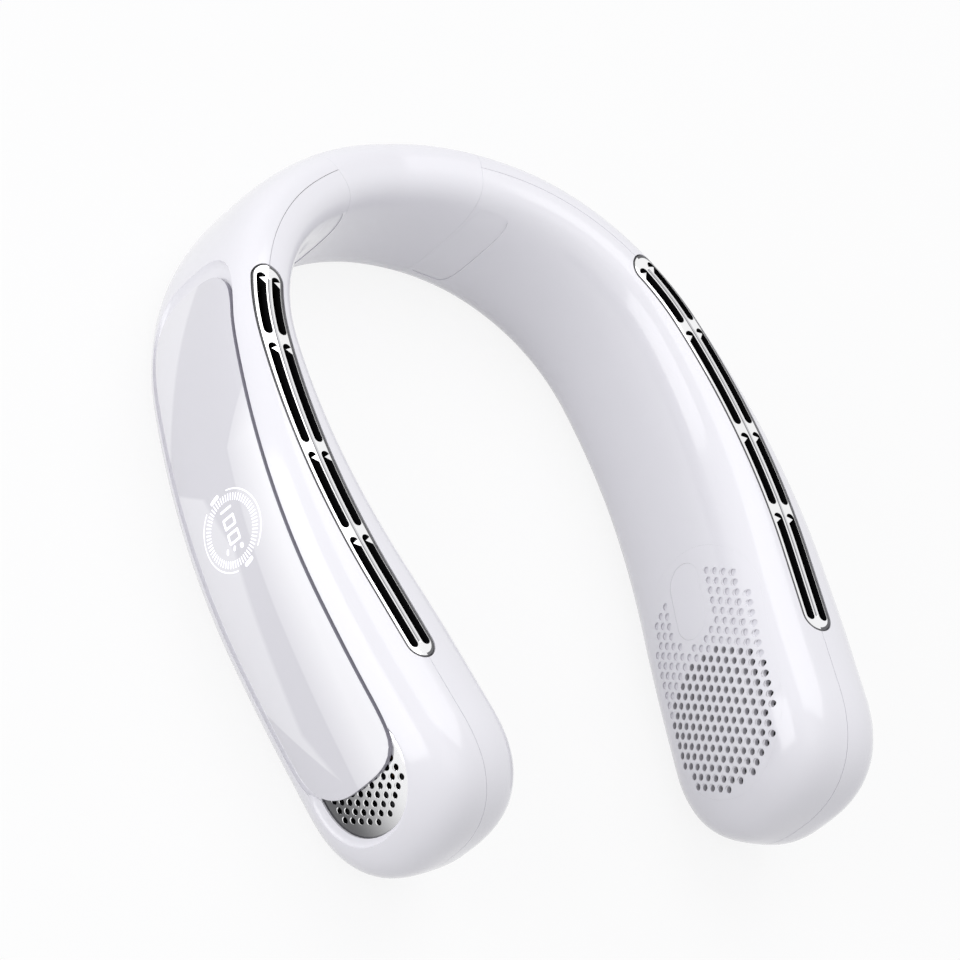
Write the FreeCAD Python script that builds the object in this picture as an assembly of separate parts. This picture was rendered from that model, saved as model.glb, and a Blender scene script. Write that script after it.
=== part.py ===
import FreeCAD, Part
import math
import os
from FreeCAD import Vector

# Electric neck fan: two fan arms, joined behind the neck by a soft sleeve over a hinged link.
# Millimetres, +Z up. The fan lies on its lower edge at z = 0 and its arms open towards -Y.
# A place on the right arm is given by its run along the plan line from the middle of the neck,
# its offset from that line, outwards positive, and its height. The left arm is the mirror image.

# Plan line of one half: three tangent arcs and a straight run
rear_radius = 92.0
rear_turn = math.radians(25.0)
corner_radius = 66.7
corner_turn = math.radians(54.0)
side_radius = 215.6
side_turn = math.radians(20.5)
end_run = 74.4

# Section of the body: a superellipse that grows towards the arm's end
rear_width = 22.3
end_width = 41.0
width_grows_from = 70.0
width_grows_over = 142.0
rear_height = 45.0
end_height = 61.5
section_power = 3.0
rest_flat = 0.4
cap_length = 30.8
cap_power = 2.4
cap_width_power = 0.8
section_points = 24
station_step = 14.0
cap_stations = 8
cap_last_share = 0.97

# General fits
overrun = 5.0
seat_gap = 0.1
fit_gap = 0.2
seam_gap = 0.3
run_fit = 0.05
press_fit = 0.02

# Shells
outer_wall = 3.6
inner_wall = 2.4
parting_offset = 1.3
seam_run = 27.0

# Vent strip and the duct under it
strip_lead = 53.0
strip_set_back = 16.5
strip_half_width = 5.0
slot_width = 2.2
slot_row_offset = 2.05
slot_length_shares = (0.157, 0.251, 0.189, 0.279)
slot_gap_share = 0.0225
duct_half_width = 6.2
duct_wall = 1.2
duct_depth = 11.0
duct_top = 2.2

# Side cover in its recess
cover_lead = 1.0
cover_past_fan = 3.8
cover_front_bulge = 2.4
cover_front_radius = 44.0
cover_thickness = 1.6
cover_gap = 0.8
recess_depth = 1.8
cover_corner = 9.0
cover_toe_corner = 15.0
cover_top_shares = (0.855, 0.81)
cover_low_shares = (0.15, 0.17)

# Fan axis and air intakes
fan_set_back = 31.4
fan_height_share = 0.535
intake_depth = 3.8
intake_bore_share = 0.245
grille_radius_share = 0.285
grille_thickness = 0.9
grille_lead = 1.9
grille_pitch = 3.0
grille_hole = 1.75
ring_radius_share = 0.325
ring_depth = 2.6
hole_pitch = 3.2
hole_diameter = 2.0
panel_radius_share = 0.379
panel_length = 31.0
panel_thickness = 1.5
panel_ledge = 1.0
hole_field_share = 0.347

# Motor and impeller
bracket_thickness = 2.0
bracket_hub = 7.0
bracket_arm_width = 4.0
bracket_arms = 3
bracket_rim = 1.8
bracket_radius_share = 0.285
shaft_radius = 1.5
bearing_radius = 3.0
bearing_width = 2.5
tube_wall = 1.2
tube_length = 9.0
stator_radius = 7.6
stator_length = 6.0
stator_teeth = 9
tooth_width = 1.6
stator_core = 5.6
magnet_gap = 0.3
magnet_wall = 1.4
impeller_wall = 1.0
impeller_radius_share = 0.335
blade_root_share = 0.228
blade_thickness = 0.8
blade_turn = math.radians(14.0)
blade_bow = math.radians(2.5)
blade_count = 22
blade_out_share = 0.195
blade_in_share = 0.244
impeller_plate = 1.2
impeller_ring = 1.6
impeller_gap = 2.2

# Fan scroll
scroll_gap = 1.4
scroll_wall = 1.2
scroll_open = math.radians(120.0)
scroll_open_from = math.radians(80.0)

# Shell screws, hidden under the side cover
screw_radius = 1.0
screw_head = 1.9
screw_head_height = 0.9
screw_boss = 3.0
rear_screw_run = 65.0
front_screw_set_back = 58.0
rear_screw_height_shares = (0.28, 0.66)
front_screw_height_shares = (0.3, 0.68)
screw_grip = 7.0

# Batteries
battery_radius = 9.0
battery_length = 50.0
battery_run = 80.0
battery_height = 18.5
battery_cap = 3.2
battery_cap_height = 1.2
cradle_width = 6.0
cradle_inset_share = 0.22
cradle_height = 6.0

# Power button, switch and boards in the right arm
button_set_back = 38.4
button_half_length = 12.6
button_half_width = 6.6
button_drop = 1.3
button_travel = 0.6
button_flange = 0.8
button_flange_height = 0.8
button_stem = 2.4
button_stem_length = 0.3
switch_size = 6.2
switch_height = 2.6
switch_plunger = 1.6
switch_plunger_height = 0.9
board_thickness = 1.2
board_lead = 8.0
board_tail = 15.0
board_height_share = 0.2095
board_post = 2.0

# Charging socket under the right arm
socket_run = 104.0
socket_length = 8.9
socket_width = 3.3
socket_depth = 7.2
socket_wall = 0.35
socket_tongue = 0.7
socket_tongue_set = 0.8
charge_board_length = 15.0

# Display in the left arm
dial_radius = 12.0
dial_set_back = 72.6
dial_height_share = 0.53
dial_dip = 1.9
dial_guide = 2.4

# Hinges behind the neck
hinge_run = 20.0
pin_radius = 2.0
knuckle_radius = 5.0
knuckle_half_height = 5.0
fork_radius = 5.6
fork_height = 4.6
link_half_width = 3.0
link_stop = 0.6
leaf_half_width = 2.0
leaf_foot_start = 2.6
leaf_foot_length = 11.0
leaf_foot_half_height = 8.0
leaf_screw_spread = 5.0
hinge_cover_start = 0.9
hinge_cover_length = 13.6
hinge_cover_low_share = 0.153
hinge_cover_top_share = 0.876
hinge_cover_corner = 6.0
hinge_cover_thickness = 1.0
sleeve_wall = 3.0

# Values worked out from the above
plan_arcs = ((rear_radius, rear_turn), (corner_radius, corner_turn), (side_radius, side_turn))
line_run = sum(radius * turn for radius, turn in plan_arcs) + end_run
cap_start = line_run - cap_length
fan_run = line_run - fan_set_back
strip_start = seam_run + strip_lead
strip_end = fan_run - strip_set_back
arm_start = seam_run + seam_gap
max_height = max(rear_height, end_height) + overrun
reach = end_width + overrun


def line_state(run):
    """The plan line's x, y and heading at a run. The heading turns from +X towards -Y."""
    x, y, heading, passed = 0.0, rear_line_y, 0.0, 0.0
    for radius, turn in plan_arcs:
        step = min(run - passed, radius * turn) / radius
        x += radius * (math.sin(heading + step) - math.sin(heading))
        y += radius * (math.cos(heading + step) - math.cos(heading))
        heading += step
        passed += radius * turn
        if run <= passed:
            return x, y, heading
    left = run - passed
    return x + left * math.cos(heading), y - left * math.sin(heading), heading


def point(run, offset, height=0.0):
    """The point at a run, an offset from the plan line and a height."""
    x, y, heading = line_state(run)
    return Vector(x + offset * math.sin(heading), y + offset * math.cos(heading), height)


def outward(run):
    """The unit vector square to the plan line, away from the neck."""
    heading = line_state(run)[2]
    return Vector(math.sin(heading), math.cos(heading), 0)


def along(run):
    """The unit vector along the plan line, towards the arm's end."""
    heading = line_state(run)[2]
    return Vector(math.cos(heading), -math.sin(heading), 0)


def cap_share(run):
    """How much of the full section is left at a run, 1 up to the rounded end and 0 at its tip."""
    depth = max(0.0, (run - cap_start) / cap_length)
    return max(0.0, 1 - depth ** cap_power) ** (1 / cap_power)


def full_width(run):
    """Width of the body at a run, before the end is rounded."""
    grown = min(1.0, max(0.0, (abs(run) - width_grows_from) / width_grows_over))
    return rear_width + (end_width - rear_width) * grown ** 2 * (3 - 2 * grown)


def half_width(run):
    """Half width of the body at a run."""
    return full_width(run) / 2 * cap_share(run) ** cap_width_power


def height_at(run):
    """Height of the body's top edge at a run, before the end is rounded."""
    return rear_height + (end_height - rear_height) * abs(run) / line_run


def section_centre(run):
    """Height of the middle of the section."""
    return (height_at(run) - rest_flat) / 2


def half_height(run):
    """Half height of the section, which reaches below the flat that the fan rests on."""
    return (height_at(run) + rest_flat) / 2 * cap_share(run)


def surface_offset(run, height, inset=0.0):
    """Offset of the body's side from the plan line at a height, with an inset."""
    rise = abs(height - section_centre(run)) / (half_height(run) - inset)
    return (half_width(run) - inset) * max(0.0, 1 - rise ** section_power) ** (1 / section_power)


def lowest_line_y():
    """How far the arm's end lies below the plan line's start, along Y."""
    steps = section_points * cap_stations
    runs = [cap_start + cap_length * step / steps for step in range(steps + 1)]
    return min(point(run, side * half_width(run)).y for run in runs for side in (-1, 1))


rear_line_y = 0.0
rear_line_y = -(rear_width / 2 + lowest_line_y()) / 2
fan_size = height_at(fan_run)
fan_height = fan_height_share * fan_size
grille_radius, intake_bore = grille_radius_share * fan_size, intake_bore_share * fan_size
ring_radius, bracket_radius = ring_radius_share * fan_size, bracket_radius_share * fan_size
panel_radius, hole_field_radius = panel_radius_share * fan_size, hole_field_share * fan_size
impeller_radius, blade_root_radius = impeller_radius_share * fan_size, blade_root_share * fan_size
blade_height_out, blade_height_in = blade_out_share * end_width, blade_in_share * end_width
board_half_height = board_height_share * fan_size
strip_low = height_at(strip_start) - 2 * outer_wall
grille_back = cover_thickness + seat_gap + grille_thickness
hinge_height = section_centre(hinge_run)


def section_wire(run, inset):
    """The body's section at a run as one closed curve, with an inset."""
    wide, high = half_width(run) - inset, half_height(run) - inset
    points = []
    for step in range(section_points):
        angle = 2 * math.pi * step / section_points
        cosine, sine = math.cos(angle), math.sin(angle)
        reach_share = (abs(cosine) ** section_power + abs(sine) ** section_power) ** (-1 / section_power)
        height = section_centre(run) + high * reach_share * sine
        points.append(point(run, wide * reach_share * cosine, height))
    curve = Part.BSplineCurve()
    shares = [step / section_points for step in range(section_points + 1)]
    curve.interpolate(Points=points, PeriodicFlag=True, Parameters=shares)
    return Part.Wire(curve.toShape())


def body_form(start, inset=0.0):
    """The arm's outer form from a run to its rounded end, with an inset all round."""
    steps = max(2, round((cap_start - start) / station_step))
    runs = [start + (cap_start - start) * step / steps for step in range(steps + 1)]
    last = cap_last_share if inset == 0 else cap_last_share * (1 - 2 * inset / end_width)
    for step in range(1, cap_stations + 1):
        runs.append(cap_start + cap_length * math.sin(math.asin(last) * step / cap_stations))
    profiles = [section_wire(run, inset) for run in runs]
    if inset == 0:
        profiles.append(Part.Vertex(point(line_run, 0, section_centre(line_run))))
    return Part.makeLoft(profiles, True, False)


def offset_edges(start, end, offset):
    """The plan line's arcs and straight between two runs, set over by an offset."""
    edges, passed = [], -rear_radius * rear_turn
    ends = []
    total = 0.0
    for radius, turn in plan_arcs:
        total += radius * turn
        ends.append(total)
    for index, limit in enumerate(ends + [math.inf]):
        low, high = max(start, passed), min(end, limit)
        passed = limit
        if high <= low:
            continue
        first, last = point(low, offset), point(high, offset)
        if index < len(ends):
            edges.append(Part.Arc(first, point((low + high) / 2, offset), last).toShape())
        else:
            edges.append(Part.LineSegment(first, last).toShape())
    return edges


def prism(edges, low, high):
    """The solid between two heights over a closed outline at height zero."""
    face = Part.Face(Part.Wire(Part.__sortEdges__(edges)))
    face.translate(Vector(0, 0, low))
    return face.extrude(Vector(0, 0, high - low))


def line_edge(first, last):
    """A straight edge between two points."""
    return Part.LineSegment(first, last).toShape()


def band(start, end, inner, outer, low, high):
    """A wall that follows the plan line between two runs, two offsets and two heights."""
    edges = offset_edges(start, end, inner) + offset_edges(start, end, outer)
    edges += [line_edge(point(run, inner), point(run, outer)) for run in (start, end)]
    return prism(edges, low, high)


def round_band(start, end, centre, half, low, high):
    """A wall with round ends that follows the plan line, tip to tip between two runs."""
    first, last = start + half, end - half
    edges = offset_edges(first, last, centre - half) + offset_edges(first, last, centre + half)
    for run, way in ((first, -1), (last, 1)):
        tip = point(run, centre) + along(run) * (way * half)
        edges.append(Part.Arc(point(run, centre - half), tip, point(run, centre + half)).toShape())
    return prism(edges, low, high)


def peg(run, height, radius, inner, outer):
    """A round bar square to the plan line between two offsets."""
    return Part.makeCylinder(radius, outer - inner, point(run, inner, height), outward(run))


def fan_point(ahead, up, offset):
    """A point given from the fan axis: ahead along the arm, up, and an offset."""
    return point(fan_run, offset, fan_height + up) + along(fan_run) * ahead


def fan_bar(radius, inner, outer, ahead=0.0, up=0.0):
    """A round bar beside the fan axis, square to the arm's side."""
    return Part.makeCylinder(radius, outer - inner, fan_point(ahead, up, inner), outward(fan_run))


def fan_tube(radius, bore, inner, outer):
    """A tube on the fan axis between two offsets."""
    return fan_bar(radius, inner, outer).cut(fan_bar(bore, inner - overrun, outer + overrun))


def fan_block(ahead, length, up, height, inner, outer):
    """A block beside the fan axis, from its least corner."""
    corners = [(ahead, up), (ahead + length, up), (ahead + length, up + height), (ahead, up + height)]
    points = [fan_point(x, z, inner) for x, z in corners]
    face = Part.Face(Part.makePolygon(points + points[:1]))
    return face.extrude(outward(fan_run) * (outer - inner))


def fan_slot(first, last, up, radius, inner, outer):
    """A bar of long round section between two centres beside the fan axis."""
    edges = []
    for side in (-1, 1):
        ends = [fan_point(centre, up + side * radius, inner) for centre in (first, last)]
        edges.append(line_edge(ends[0], ends[1]))
    for centre, way in ((first, -1), (last, 1)):
        ends = [fan_point(centre, up + side * radius, inner) for side in (-1, 1)]
        edges.append(Part.Arc(ends[0], fan_point(centre + way * radius, up, inner), ends[1]).toShape())
    face = Part.Face(Part.Wire(Part.__sortEdges__(edges)))
    return face.extrude(outward(fan_run) * (outer - inner))


def rounded_edges(corners, radii):
    """Edges of a closed outline whose corners are rounded, each by its own radius."""
    edges, starts, ends = [], [], []
    for index, (corner, radius) in enumerate(zip(corners, radii)):
        back = (corners[index - 1] - corner).normalize()
        ahead = (corners[(index + 1) % len(corners)] - corner).normalize()
        half = back.getAngle(ahead) / 2
        middle = (back + ahead).normalize()
        first = corner + back * (radius / math.tan(half))
        last = corner + ahead * (radius / math.tan(half))
        edges.append(Part.Arc(first, corner + middle * (radius / math.sin(half) - radius), last).toShape())
        starts.append(first)
        ends.append(last)
    for index, start in enumerate(starts):
        edges.append(line_edge(ends[index - 1], start))
    return edges


def hex_places(pitch, inside):
    """Places of a hexagonal lattice of a pitch about the fan axis that a test accepts."""
    places = []
    row_step = pitch * math.sqrt(3) / 2
    rows = math.ceil((panel_length + panel_radius) / row_step)
    for row in range(-rows, rows + 1):
        for column in range(-rows, rows + 1):
            ahead, up = (column + (row % 2) / 2) * pitch, row * row_step
            if inside(ahead, up):
                places.append((ahead, up))
    return places


def mirrored(shape):
    """The same shape on the other arm."""
    return shape.mirror(Vector(0, 0, 0), Vector(1, 0, 0))


def fused(first, others):
    """One solid of a shape and the shapes joined to it."""
    return first.multiFuse(others).removeSplitter()


def cut_in_turn(shape, tools):
    """A shape with one cut after another."""
    for tool in tools:
        shape = shape.cut(tool)
    return shape


# Forms of the arm that several pieces are cut from
arm_form = body_form(arm_start)
outer_hollow = body_form(arm_start - overrun, outer_wall)
inner_hollow = body_form(arm_start - overrun, inner_wall)
below_rest = Part.makeBox(4 * reach, 2 * line_run, overrun, Vector(-reach, -line_run, -overrun))
outer_side = band(0, line_run + overrun, parting_offset, parting_offset + reach, -overrun, max_height)
standing_arm = arm_form.cut(below_rest)
inner_half = standing_arm.cut(outer_side)
outer_half = standing_arm.common(outer_side)


def cover_outline(gap):
    """The side cover's outline on a plane across the arm, grown by a gap."""
    ends = (strip_start - cover_lead, fan_run + cover_past_fan)
    plane_x = point(ends[0], half_width(ends[0]) / 2).x
    low, high = [], []
    for index, (run, way) in enumerate(zip(ends, (1, -1))):
        y = point(run, half_width(run)).y + way * gap
        low.append(Vector(plane_x, y, height_at(run) * cover_low_shares[index] - gap))
        high.append(Vector(plane_x, y, height_at(run) * cover_top_shares[index] + gap))
    front = (low[1] + high[1]) / 2 - Vector(0, cover_front_bulge, 0)
    corner = cover_corner + gap
    return rounded_edges([low[0], high[0], high[1], front, low[1]],
                         [corner, corner, corner, cover_front_radius, cover_toe_corner + gap])


def cover_prism(gap):
    """The side cover's outline carried straight out through the arm's outer side."""
    face = Part.Face(Part.Wire(Part.__sortEdges__(cover_outline(gap))))
    return face.extrude(Vector(reach + end_width, 0, 0))


def lowest_offset(run, height, radius, inset):
    """The least offset of the body's side, with an inset, round a place."""
    return min(surface_offset(run + ahead * radius, height + up * radius, inset)
               for ahead in (-1, 0, 1) for up in (-1, 0, 1))


def shell_screws():
    """Places of the screws that hold the two shells together: run, height and seat of the head."""
    rear, front = seam_run + rear_screw_run, fan_run - front_screw_set_back
    places = [(rear, share * height_at(rear)) for share in rear_screw_height_shares]
    places += [(front, share * height_at(front)) for share in front_screw_height_shares]
    return [(run, height, lowest_offset(run, height, screw_head, recess_depth)) for run, height in places]


def leaf_screws():
    """Places of the screws that hold the hinge leaf: run, height and seat of the head."""
    run = seam_run + leaf_foot_start + leaf_foot_length / 2
    heights = [section_centre(run) + side * leaf_screw_spread for side in (-1, 1)]
    inset = hinge_cover_thickness
    return [(run, height, lowest_offset(run, height, screw_head, inset)) for height in heights]


# Seats along the fan axis, from the outer side inwards
intake_seat = half_width(fan_run) - intake_depth
ring_back = intake_seat - ring_depth
bracket_out = ring_back - seat_gap
bracket_in = bracket_out - bracket_thickness
blade_out = bracket_in - impeller_gap
plate_out = blade_out - blade_height_out
plate_in = plate_out - impeller_plate
blade_in = plate_in - blade_height_in
tube_end = bracket_in - tube_length

# Seats behind the power button, from the arm's inner side outwards
button_rear = fan_run - button_set_back - button_half_length - button_flange
button_back = -(half_width(button_rear) - panel_thickness - seat_gap)
stem_end = button_back + button_flange_height + button_stem_length
plunger_end = stem_end + button_travel + seat_gap
board_face = plunger_end + switch_plunger_height + switch_height


def outer_shell():
    """The arm's outer half with the cover recess, the grille seat and the screw holes."""
    shell = outer_half.cut(outer_hollow)
    ring = fan_bar(ring_radius, ring_back, intake_seat + fit_gap)
    shell = shell.fuse(ring)
    recess = cover_prism(cover_gap).cut(body_form(arm_start, recess_depth))
    strip = round_band(strip_start - seat_gap, strip_end + seat_gap, parting_offset,
                       strip_half_width + seat_gap, strip_low, max_height)
    grille_space = fan_bar(grille_radius + fit_gap, 0, reach, grille_lead)
    grille_space = grille_space.cut(body_form(arm_start, grille_back + seat_gap))
    intake = fan_bar(intake_bore, ring_back - overrun, intake_seat + overrun, grille_lead)
    cuts = [strip, grille_space, recess, intake]
    for run, height, seat in shell_screws():
        cuts.append(peg(run, height, screw_radius + fit_gap, 0, seat + overrun))
        floor = seat - screw_head_height - fit_gap
        cuts.append(peg(run, height, screw_head + fit_gap, floor, seat + overrun))
    return cut_in_turn(shell, cuts)


def panel_outline(growth, inner, outer):
    """The intake panel's long round outline as a bar through the arm's inner side."""
    return fan_slot(-panel_length, 0, 0, panel_radius + growth, inner, outer)


def inner_shell():
    """The arm's inner half with the seats of the intake panel and the hinge cover."""
    shell = inner_half.cut(inner_hollow)
    bosses = []
    for run, height, seat in shell_screws():
        foot = -(surface_offset(run, height) - inner_wall / 2)
        top = lowest_offset(run, height, screw_boss, outer_wall) - fit_gap
        bosses.append(peg(run, height, screw_boss, foot, top))
    shell = fused(shell, bosses)
    seat = panel_outline(fit_gap, -reach, -overrun).cut(body_form(arm_start, panel_thickness + seat_gap))
    opening = panel_outline(-panel_ledge, -reach, -overrun)
    strip = round_band(strip_start - seat_gap, strip_end + seat_gap, parting_offset,
                       strip_half_width + seat_gap, strip_low, max_height)
    cover_seat = hinge_cover_bar(seat_gap).cut(body_form(arm_start, hinge_cover_thickness + seat_gap))
    cuts = [seat, opening, strip, cover_seat]
    for run, height, head in shell_screws():
        tip = head - screw_head_height - fit_gap - screw_grip - overrun
        cuts.append(peg(run, height, screw_radius + run_fit, tip, head))
    for run, height, seat_offset in leaf_screws():
        cuts.append(peg(run, height, screw_radius + fit_gap, -seat_offset - overrun, 0))
        deep = -seat_offset + seat_gap + screw_head_height
        cuts.append(peg(run, height, screw_head + fit_gap, -seat_offset - overrun, deep))
    return cut_in_turn(shell, cuts)


def hinge_cover_bar(growth):
    """The hinge cover's rounded outline as a bar through the arm's inner side."""
    middle = seam_run + hinge_cover_start + hinge_cover_length / 2
    half = hinge_cover_length / 2 + growth
    low = hinge_cover_low_share * height_at(middle) - growth
    top = hinge_cover_top_share * height_at(middle) + growth
    base = point(middle, -reach)
    corners = [base + along(middle) * (way * half) + Vector(0, 0, height)
               for way, height in ((-1, low), (-1, top), (1, top), (1, low))]
    edges = rounded_edges(corners, [hinge_cover_corner] * len(corners))
    face = Part.Face(Part.Wire(Part.__sortEdges__(edges)))
    return face.extrude(outward(middle) * (reach - leaf_half_width))


def hinge_cover():
    """The inlaid cover over the hinge screws on the arm's inner side."""
    return hinge_cover_bar(0).common(arm_form).cut(body_form(arm_start - overrun, hinge_cover_thickness))


def intake_panel(button):
    """The inlaid panel with the intake holes, and with the button's opening where it has one."""
    panel = panel_outline(0, -reach, -overrun).common(arm_form)
    panel = panel.cut(body_form(arm_start, panel_thickness))
    limit = hole_field_radius - hole_diameter / 2
    places = hex_places(hole_pitch, lambda ahead, up: math.hypot(ahead, up) < limit)
    radius = hole_diameter / 2
    cuts = [fan_bar(radius, -reach, -overrun, ahead, up) for ahead, up in places]
    if button:
        cuts.append(button_bar(seam_gap, -reach, -overrun))
        panel = panel.fuse(board_posts())
    return panel.cut(Part.makeCompound(cuts))


def vent_slots():
    """Run of each vent slot's first and last tip."""
    length = strip_end - strip_start
    taken = sum(slot_length_shares) + slot_gap_share * (len(slot_length_shares) - 1)
    run = strip_start + length * (1 - taken) / 2
    slots = []
    for share in slot_length_shares:
        slots.append((run, run + length * share))
        run += length * (share + slot_gap_share)
    return slots


def vent_strip():
    """The bright strip in the arm's top edge with its two rows of vent slots."""
    strip = round_band(strip_start, strip_end, parting_offset, strip_half_width, strip_low, max_height)
    strip = strip.common(arm_form).cut(inner_hollow)
    cuts = []
    for first, last in vent_slots():
        for side in (-1, 1):
            row = parting_offset + side * slot_row_offset
            cuts.append(round_band(first, last, row, slot_width / 2, strip_low, max_height))
    return cut_in_turn(strip, cuts)


def duct_form(half, floor, roof, start, end):
    """A straight-sided channel under the top edge, from its depth below that edge to its roof."""
    profiles = []
    steps = max(2, round((end - start) / station_step))
    for step in range(steps + 1):
        run = start + (end - start) * step / steps
        corners = [point(run, parting_offset + side * half, height_at(run) - depth)
                   for side, depth in ((-1, floor), (1, floor), (1, roof), (-1, roof))]
        profiles.append(Part.makePolygon(corners + corners[:1]))
    return Part.makeLoft(profiles, True, False)


def vent_duct():
    """The dark air channel under the vent strip, open towards the fan."""
    duct = duct_form(duct_half_width, duct_depth, duct_top, strip_start, strip_end)
    duct = duct.common(body_form(arm_start, outer_wall + seat_gap))
    start, end = strip_start + duct_wall, strip_end + overrun
    return duct.cut(duct_form(duct_half_width - duct_wall, duct_depth - duct_wall, -overrun, start, end))


def side_cover():
    """The glossy cover over the arm's outer side."""
    return cover_prism(0).common(standing_arm).cut(body_form(arm_start - overrun, cover_thickness))


def intake_grille():
    """The bright perforated sheet behind the front end of the side cover, curved as the arm's side is."""
    sheet = fan_bar(grille_radius, 0, reach, grille_lead).common(body_form(arm_start, cover_thickness + seat_gap))
    sheet = sheet.cut(body_form(arm_start, grille_back))
    limit = intake_bore - grille_hole / 2
    places = hex_places(grille_pitch, lambda ahead, up: math.hypot(ahead, up) < limit)
    cuts = [fan_bar(grille_hole / 2, 0, reach, grille_lead + ahead, up) for ahead, up in places]
    return sheet.cut(Part.makeCompound(cuts))


def motor_bracket():
    """The three-armed plate across the intake, with the tube that holds the bearings."""
    rim = fan_tube(bracket_radius, bracket_radius - bracket_rim, bracket_in, bracket_out)
    parts = [fan_bar(bracket_hub, bracket_in, bracket_out)]
    for index in range(bracket_arms):
        arm = fan_block(0, bracket_radius - bracket_rim / 2, -bracket_arm_width / 2, bracket_arm_width,
                        bracket_in, bracket_out)
        arm.rotate(fan_point(0, 0, 0), outward(fan_run), 360 * index / bracket_arms)
        parts.append(arm)
    parts.append(fan_bar(bearing_radius + tube_wall, tube_end, bracket_in))
    bore = fan_bar(bearing_radius + press_fit, tube_end - overrun, bracket_out - tube_wall)
    return fused(rim, parts).cut(bore)


def motor_bearings():
    """Two bearings in the bracket's tube, one at each end."""
    first = fan_tube(bearing_radius, shaft_radius + run_fit, tube_end, tube_end + bearing_width)
    high = bracket_out - tube_wall - seat_gap
    second = fan_tube(bearing_radius, shaft_radius + run_fit, high - bearing_width, high)
    return Part.makeCompound([first, second])


def motor_stator():
    """The wound core on the bracket's tube: a ring with one tooth and coil for each slot."""
    low = bracket_in - seat_gap - stator_length
    ring = fan_tube(stator_core, bearing_radius + tube_wall + press_fit, low, low + stator_length)
    teeth = []
    for index in range(stator_teeth):
        root = (stator_core + bearing_radius) / 2
        tooth = fan_block(root, stator_radius - root, -tooth_width / 2, tooth_width, low, low + stator_length)
        tooth.rotate(fan_point(0, 0, 0), outward(fan_run), 360 * index / stator_teeth)
        teeth.append(tooth)
    bore = fan_bar(bearing_radius + tube_wall + press_fit, low - overrun, low + stator_length + overrun)
    return fused(ring, teeth).cut(bore)


def rotor_magnet():
    """The magnet ring inside the impeller's cup, round the stator."""
    bore = stator_radius + magnet_gap
    return fan_tube(bore + magnet_wall, bore, plate_out, bracket_in - impeller_gap)


def motor_shaft():
    """The shaft from the impeller's hub through both bearings."""
    return fan_bar(shaft_radius, plate_in, bracket_out - tube_wall - seat_gap)


def impeller_blade(angle):
    """One curved blade that runs through the impeller's plate."""
    def place(radius, turn):
        return fan_point(radius * math.cos(turn), radius * math.sin(turn), blade_in)
    outer = impeller_radius - impeller_ring / 2
    middle = (blade_root_radius + outer) / 2
    sides = []
    for shift in (0, 1):
        turns = [angle + shift * blade_thickness / radius for radius in (blade_root_radius, middle, outer)]
        bowed = turns[1] + blade_turn / 2 - blade_bow
        swept = turns[2] + blade_turn
        sides.append((place(blade_root_radius, turns[0]), place(middle, bowed), place(outer, swept)))
    edges = [Part.Arc(*side).toShape() for side in sides]
    edges += [line_edge(sides[0][end], sides[1][end]) for end in (0, 2)]
    face = Part.Face(Part.Wire(Part.__sortEdges__(edges)))
    return face.extrude(outward(fan_run) * (blade_out - blade_in))


def impeller():
    """The two-sided fan wheel: cup, plate, blades and the rings round the blades."""
    cup_bore = stator_radius + magnet_gap + magnet_wall + seat_gap
    plate = fan_bar(impeller_radius, plate_in, plate_out)
    cup = fan_tube(cup_bore + impeller_wall, cup_bore, plate_out, blade_out)
    rings = [fan_tube(impeller_radius, impeller_radius - impeller_ring, low, low + impeller_plate)
             for low in (blade_in, blade_out - impeller_plate)]
    blades = [impeller_blade(2 * math.pi * index / blade_count) for index in range(blade_count)]
    wheel = plate.multiFuse([cup] + rings + blades)
    bore = fan_bar(shaft_radius + press_fit, plate_in - overrun, plate_out + overrun)
    return wheel.cut(bore).removeSplitter()


def fan_scroll():
    """The wall that leads the air round the impeller and up to the duct."""
    bore = impeller_radius + scroll_gap
    wall = fan_tube(bore + scroll_wall, bore, blade_in, bracket_in - seat_gap)
    corners = [fan_point(0, 0, blade_in - overrun)]
    for step in range(3):
        turn = scroll_open_from + scroll_open * step / 2
        corners.append(fan_point(2 * bore * math.cos(turn), 2 * bore * math.sin(turn), blade_in - overrun))
    mouth = Part.Face(Part.makePolygon(corners + corners[:1]))
    mouth = mouth.extrude(outward(fan_run) * (bracket_in - blade_in + 2 * overrun))
    return wall.cut(mouth).common(body_form(arm_start, outer_wall + seat_gap))


def battery_ends():
    """The two ends of the battery's axis."""
    first = seam_run + battery_run
    offset = (inner_wall - outer_wall) / 2
    start = point(first, offset, battery_height)
    far = point(first + battery_length, offset, battery_height)
    return start, start + (far - start).normalize() * battery_length


def battery():
    """One round cell with its raised end contact."""
    start, end = battery_ends()
    axis = (end - start).normalize()
    body = Part.makeCylinder(battery_radius, battery_length - battery_cap_height, start, axis)
    contact = Part.makeCylinder(battery_cap, battery_cap_height, end - axis * battery_cap_height, axis)
    return body.fuse(contact).removeSplitter()


def battery_cradle():
    """Two saddles under the cell, standing on the shell's floor."""
    start, far = battery_ends()
    axis = (far - start).normalize()
    across = axis.cross(Vector(0, 0, 1))
    room = body_form(arm_start, outer_wall + seat_gap)
    saddles = []
    for share in (cradle_inset_share, 1 - cradle_inset_share):
        base = start + axis * (battery_length * share - cradle_width / 2) - across * battery_radius
        base.z = 0
        end, side = axis * cradle_width, across * (2 * battery_radius)
        corners = [base, base + end, base + end + side, base + side]
        face = Part.Face(Part.makePolygon(corners + corners[:1]))
        block = face.extrude(Vector(0, 0, battery_height - battery_radius + cradle_height))
        cell = Part.makeCylinder(battery_radius + seat_gap, battery_length, start, axis)
        saddles.append(block.cut(cell).common(room))
    return Part.makeCompound(saddles)


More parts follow.
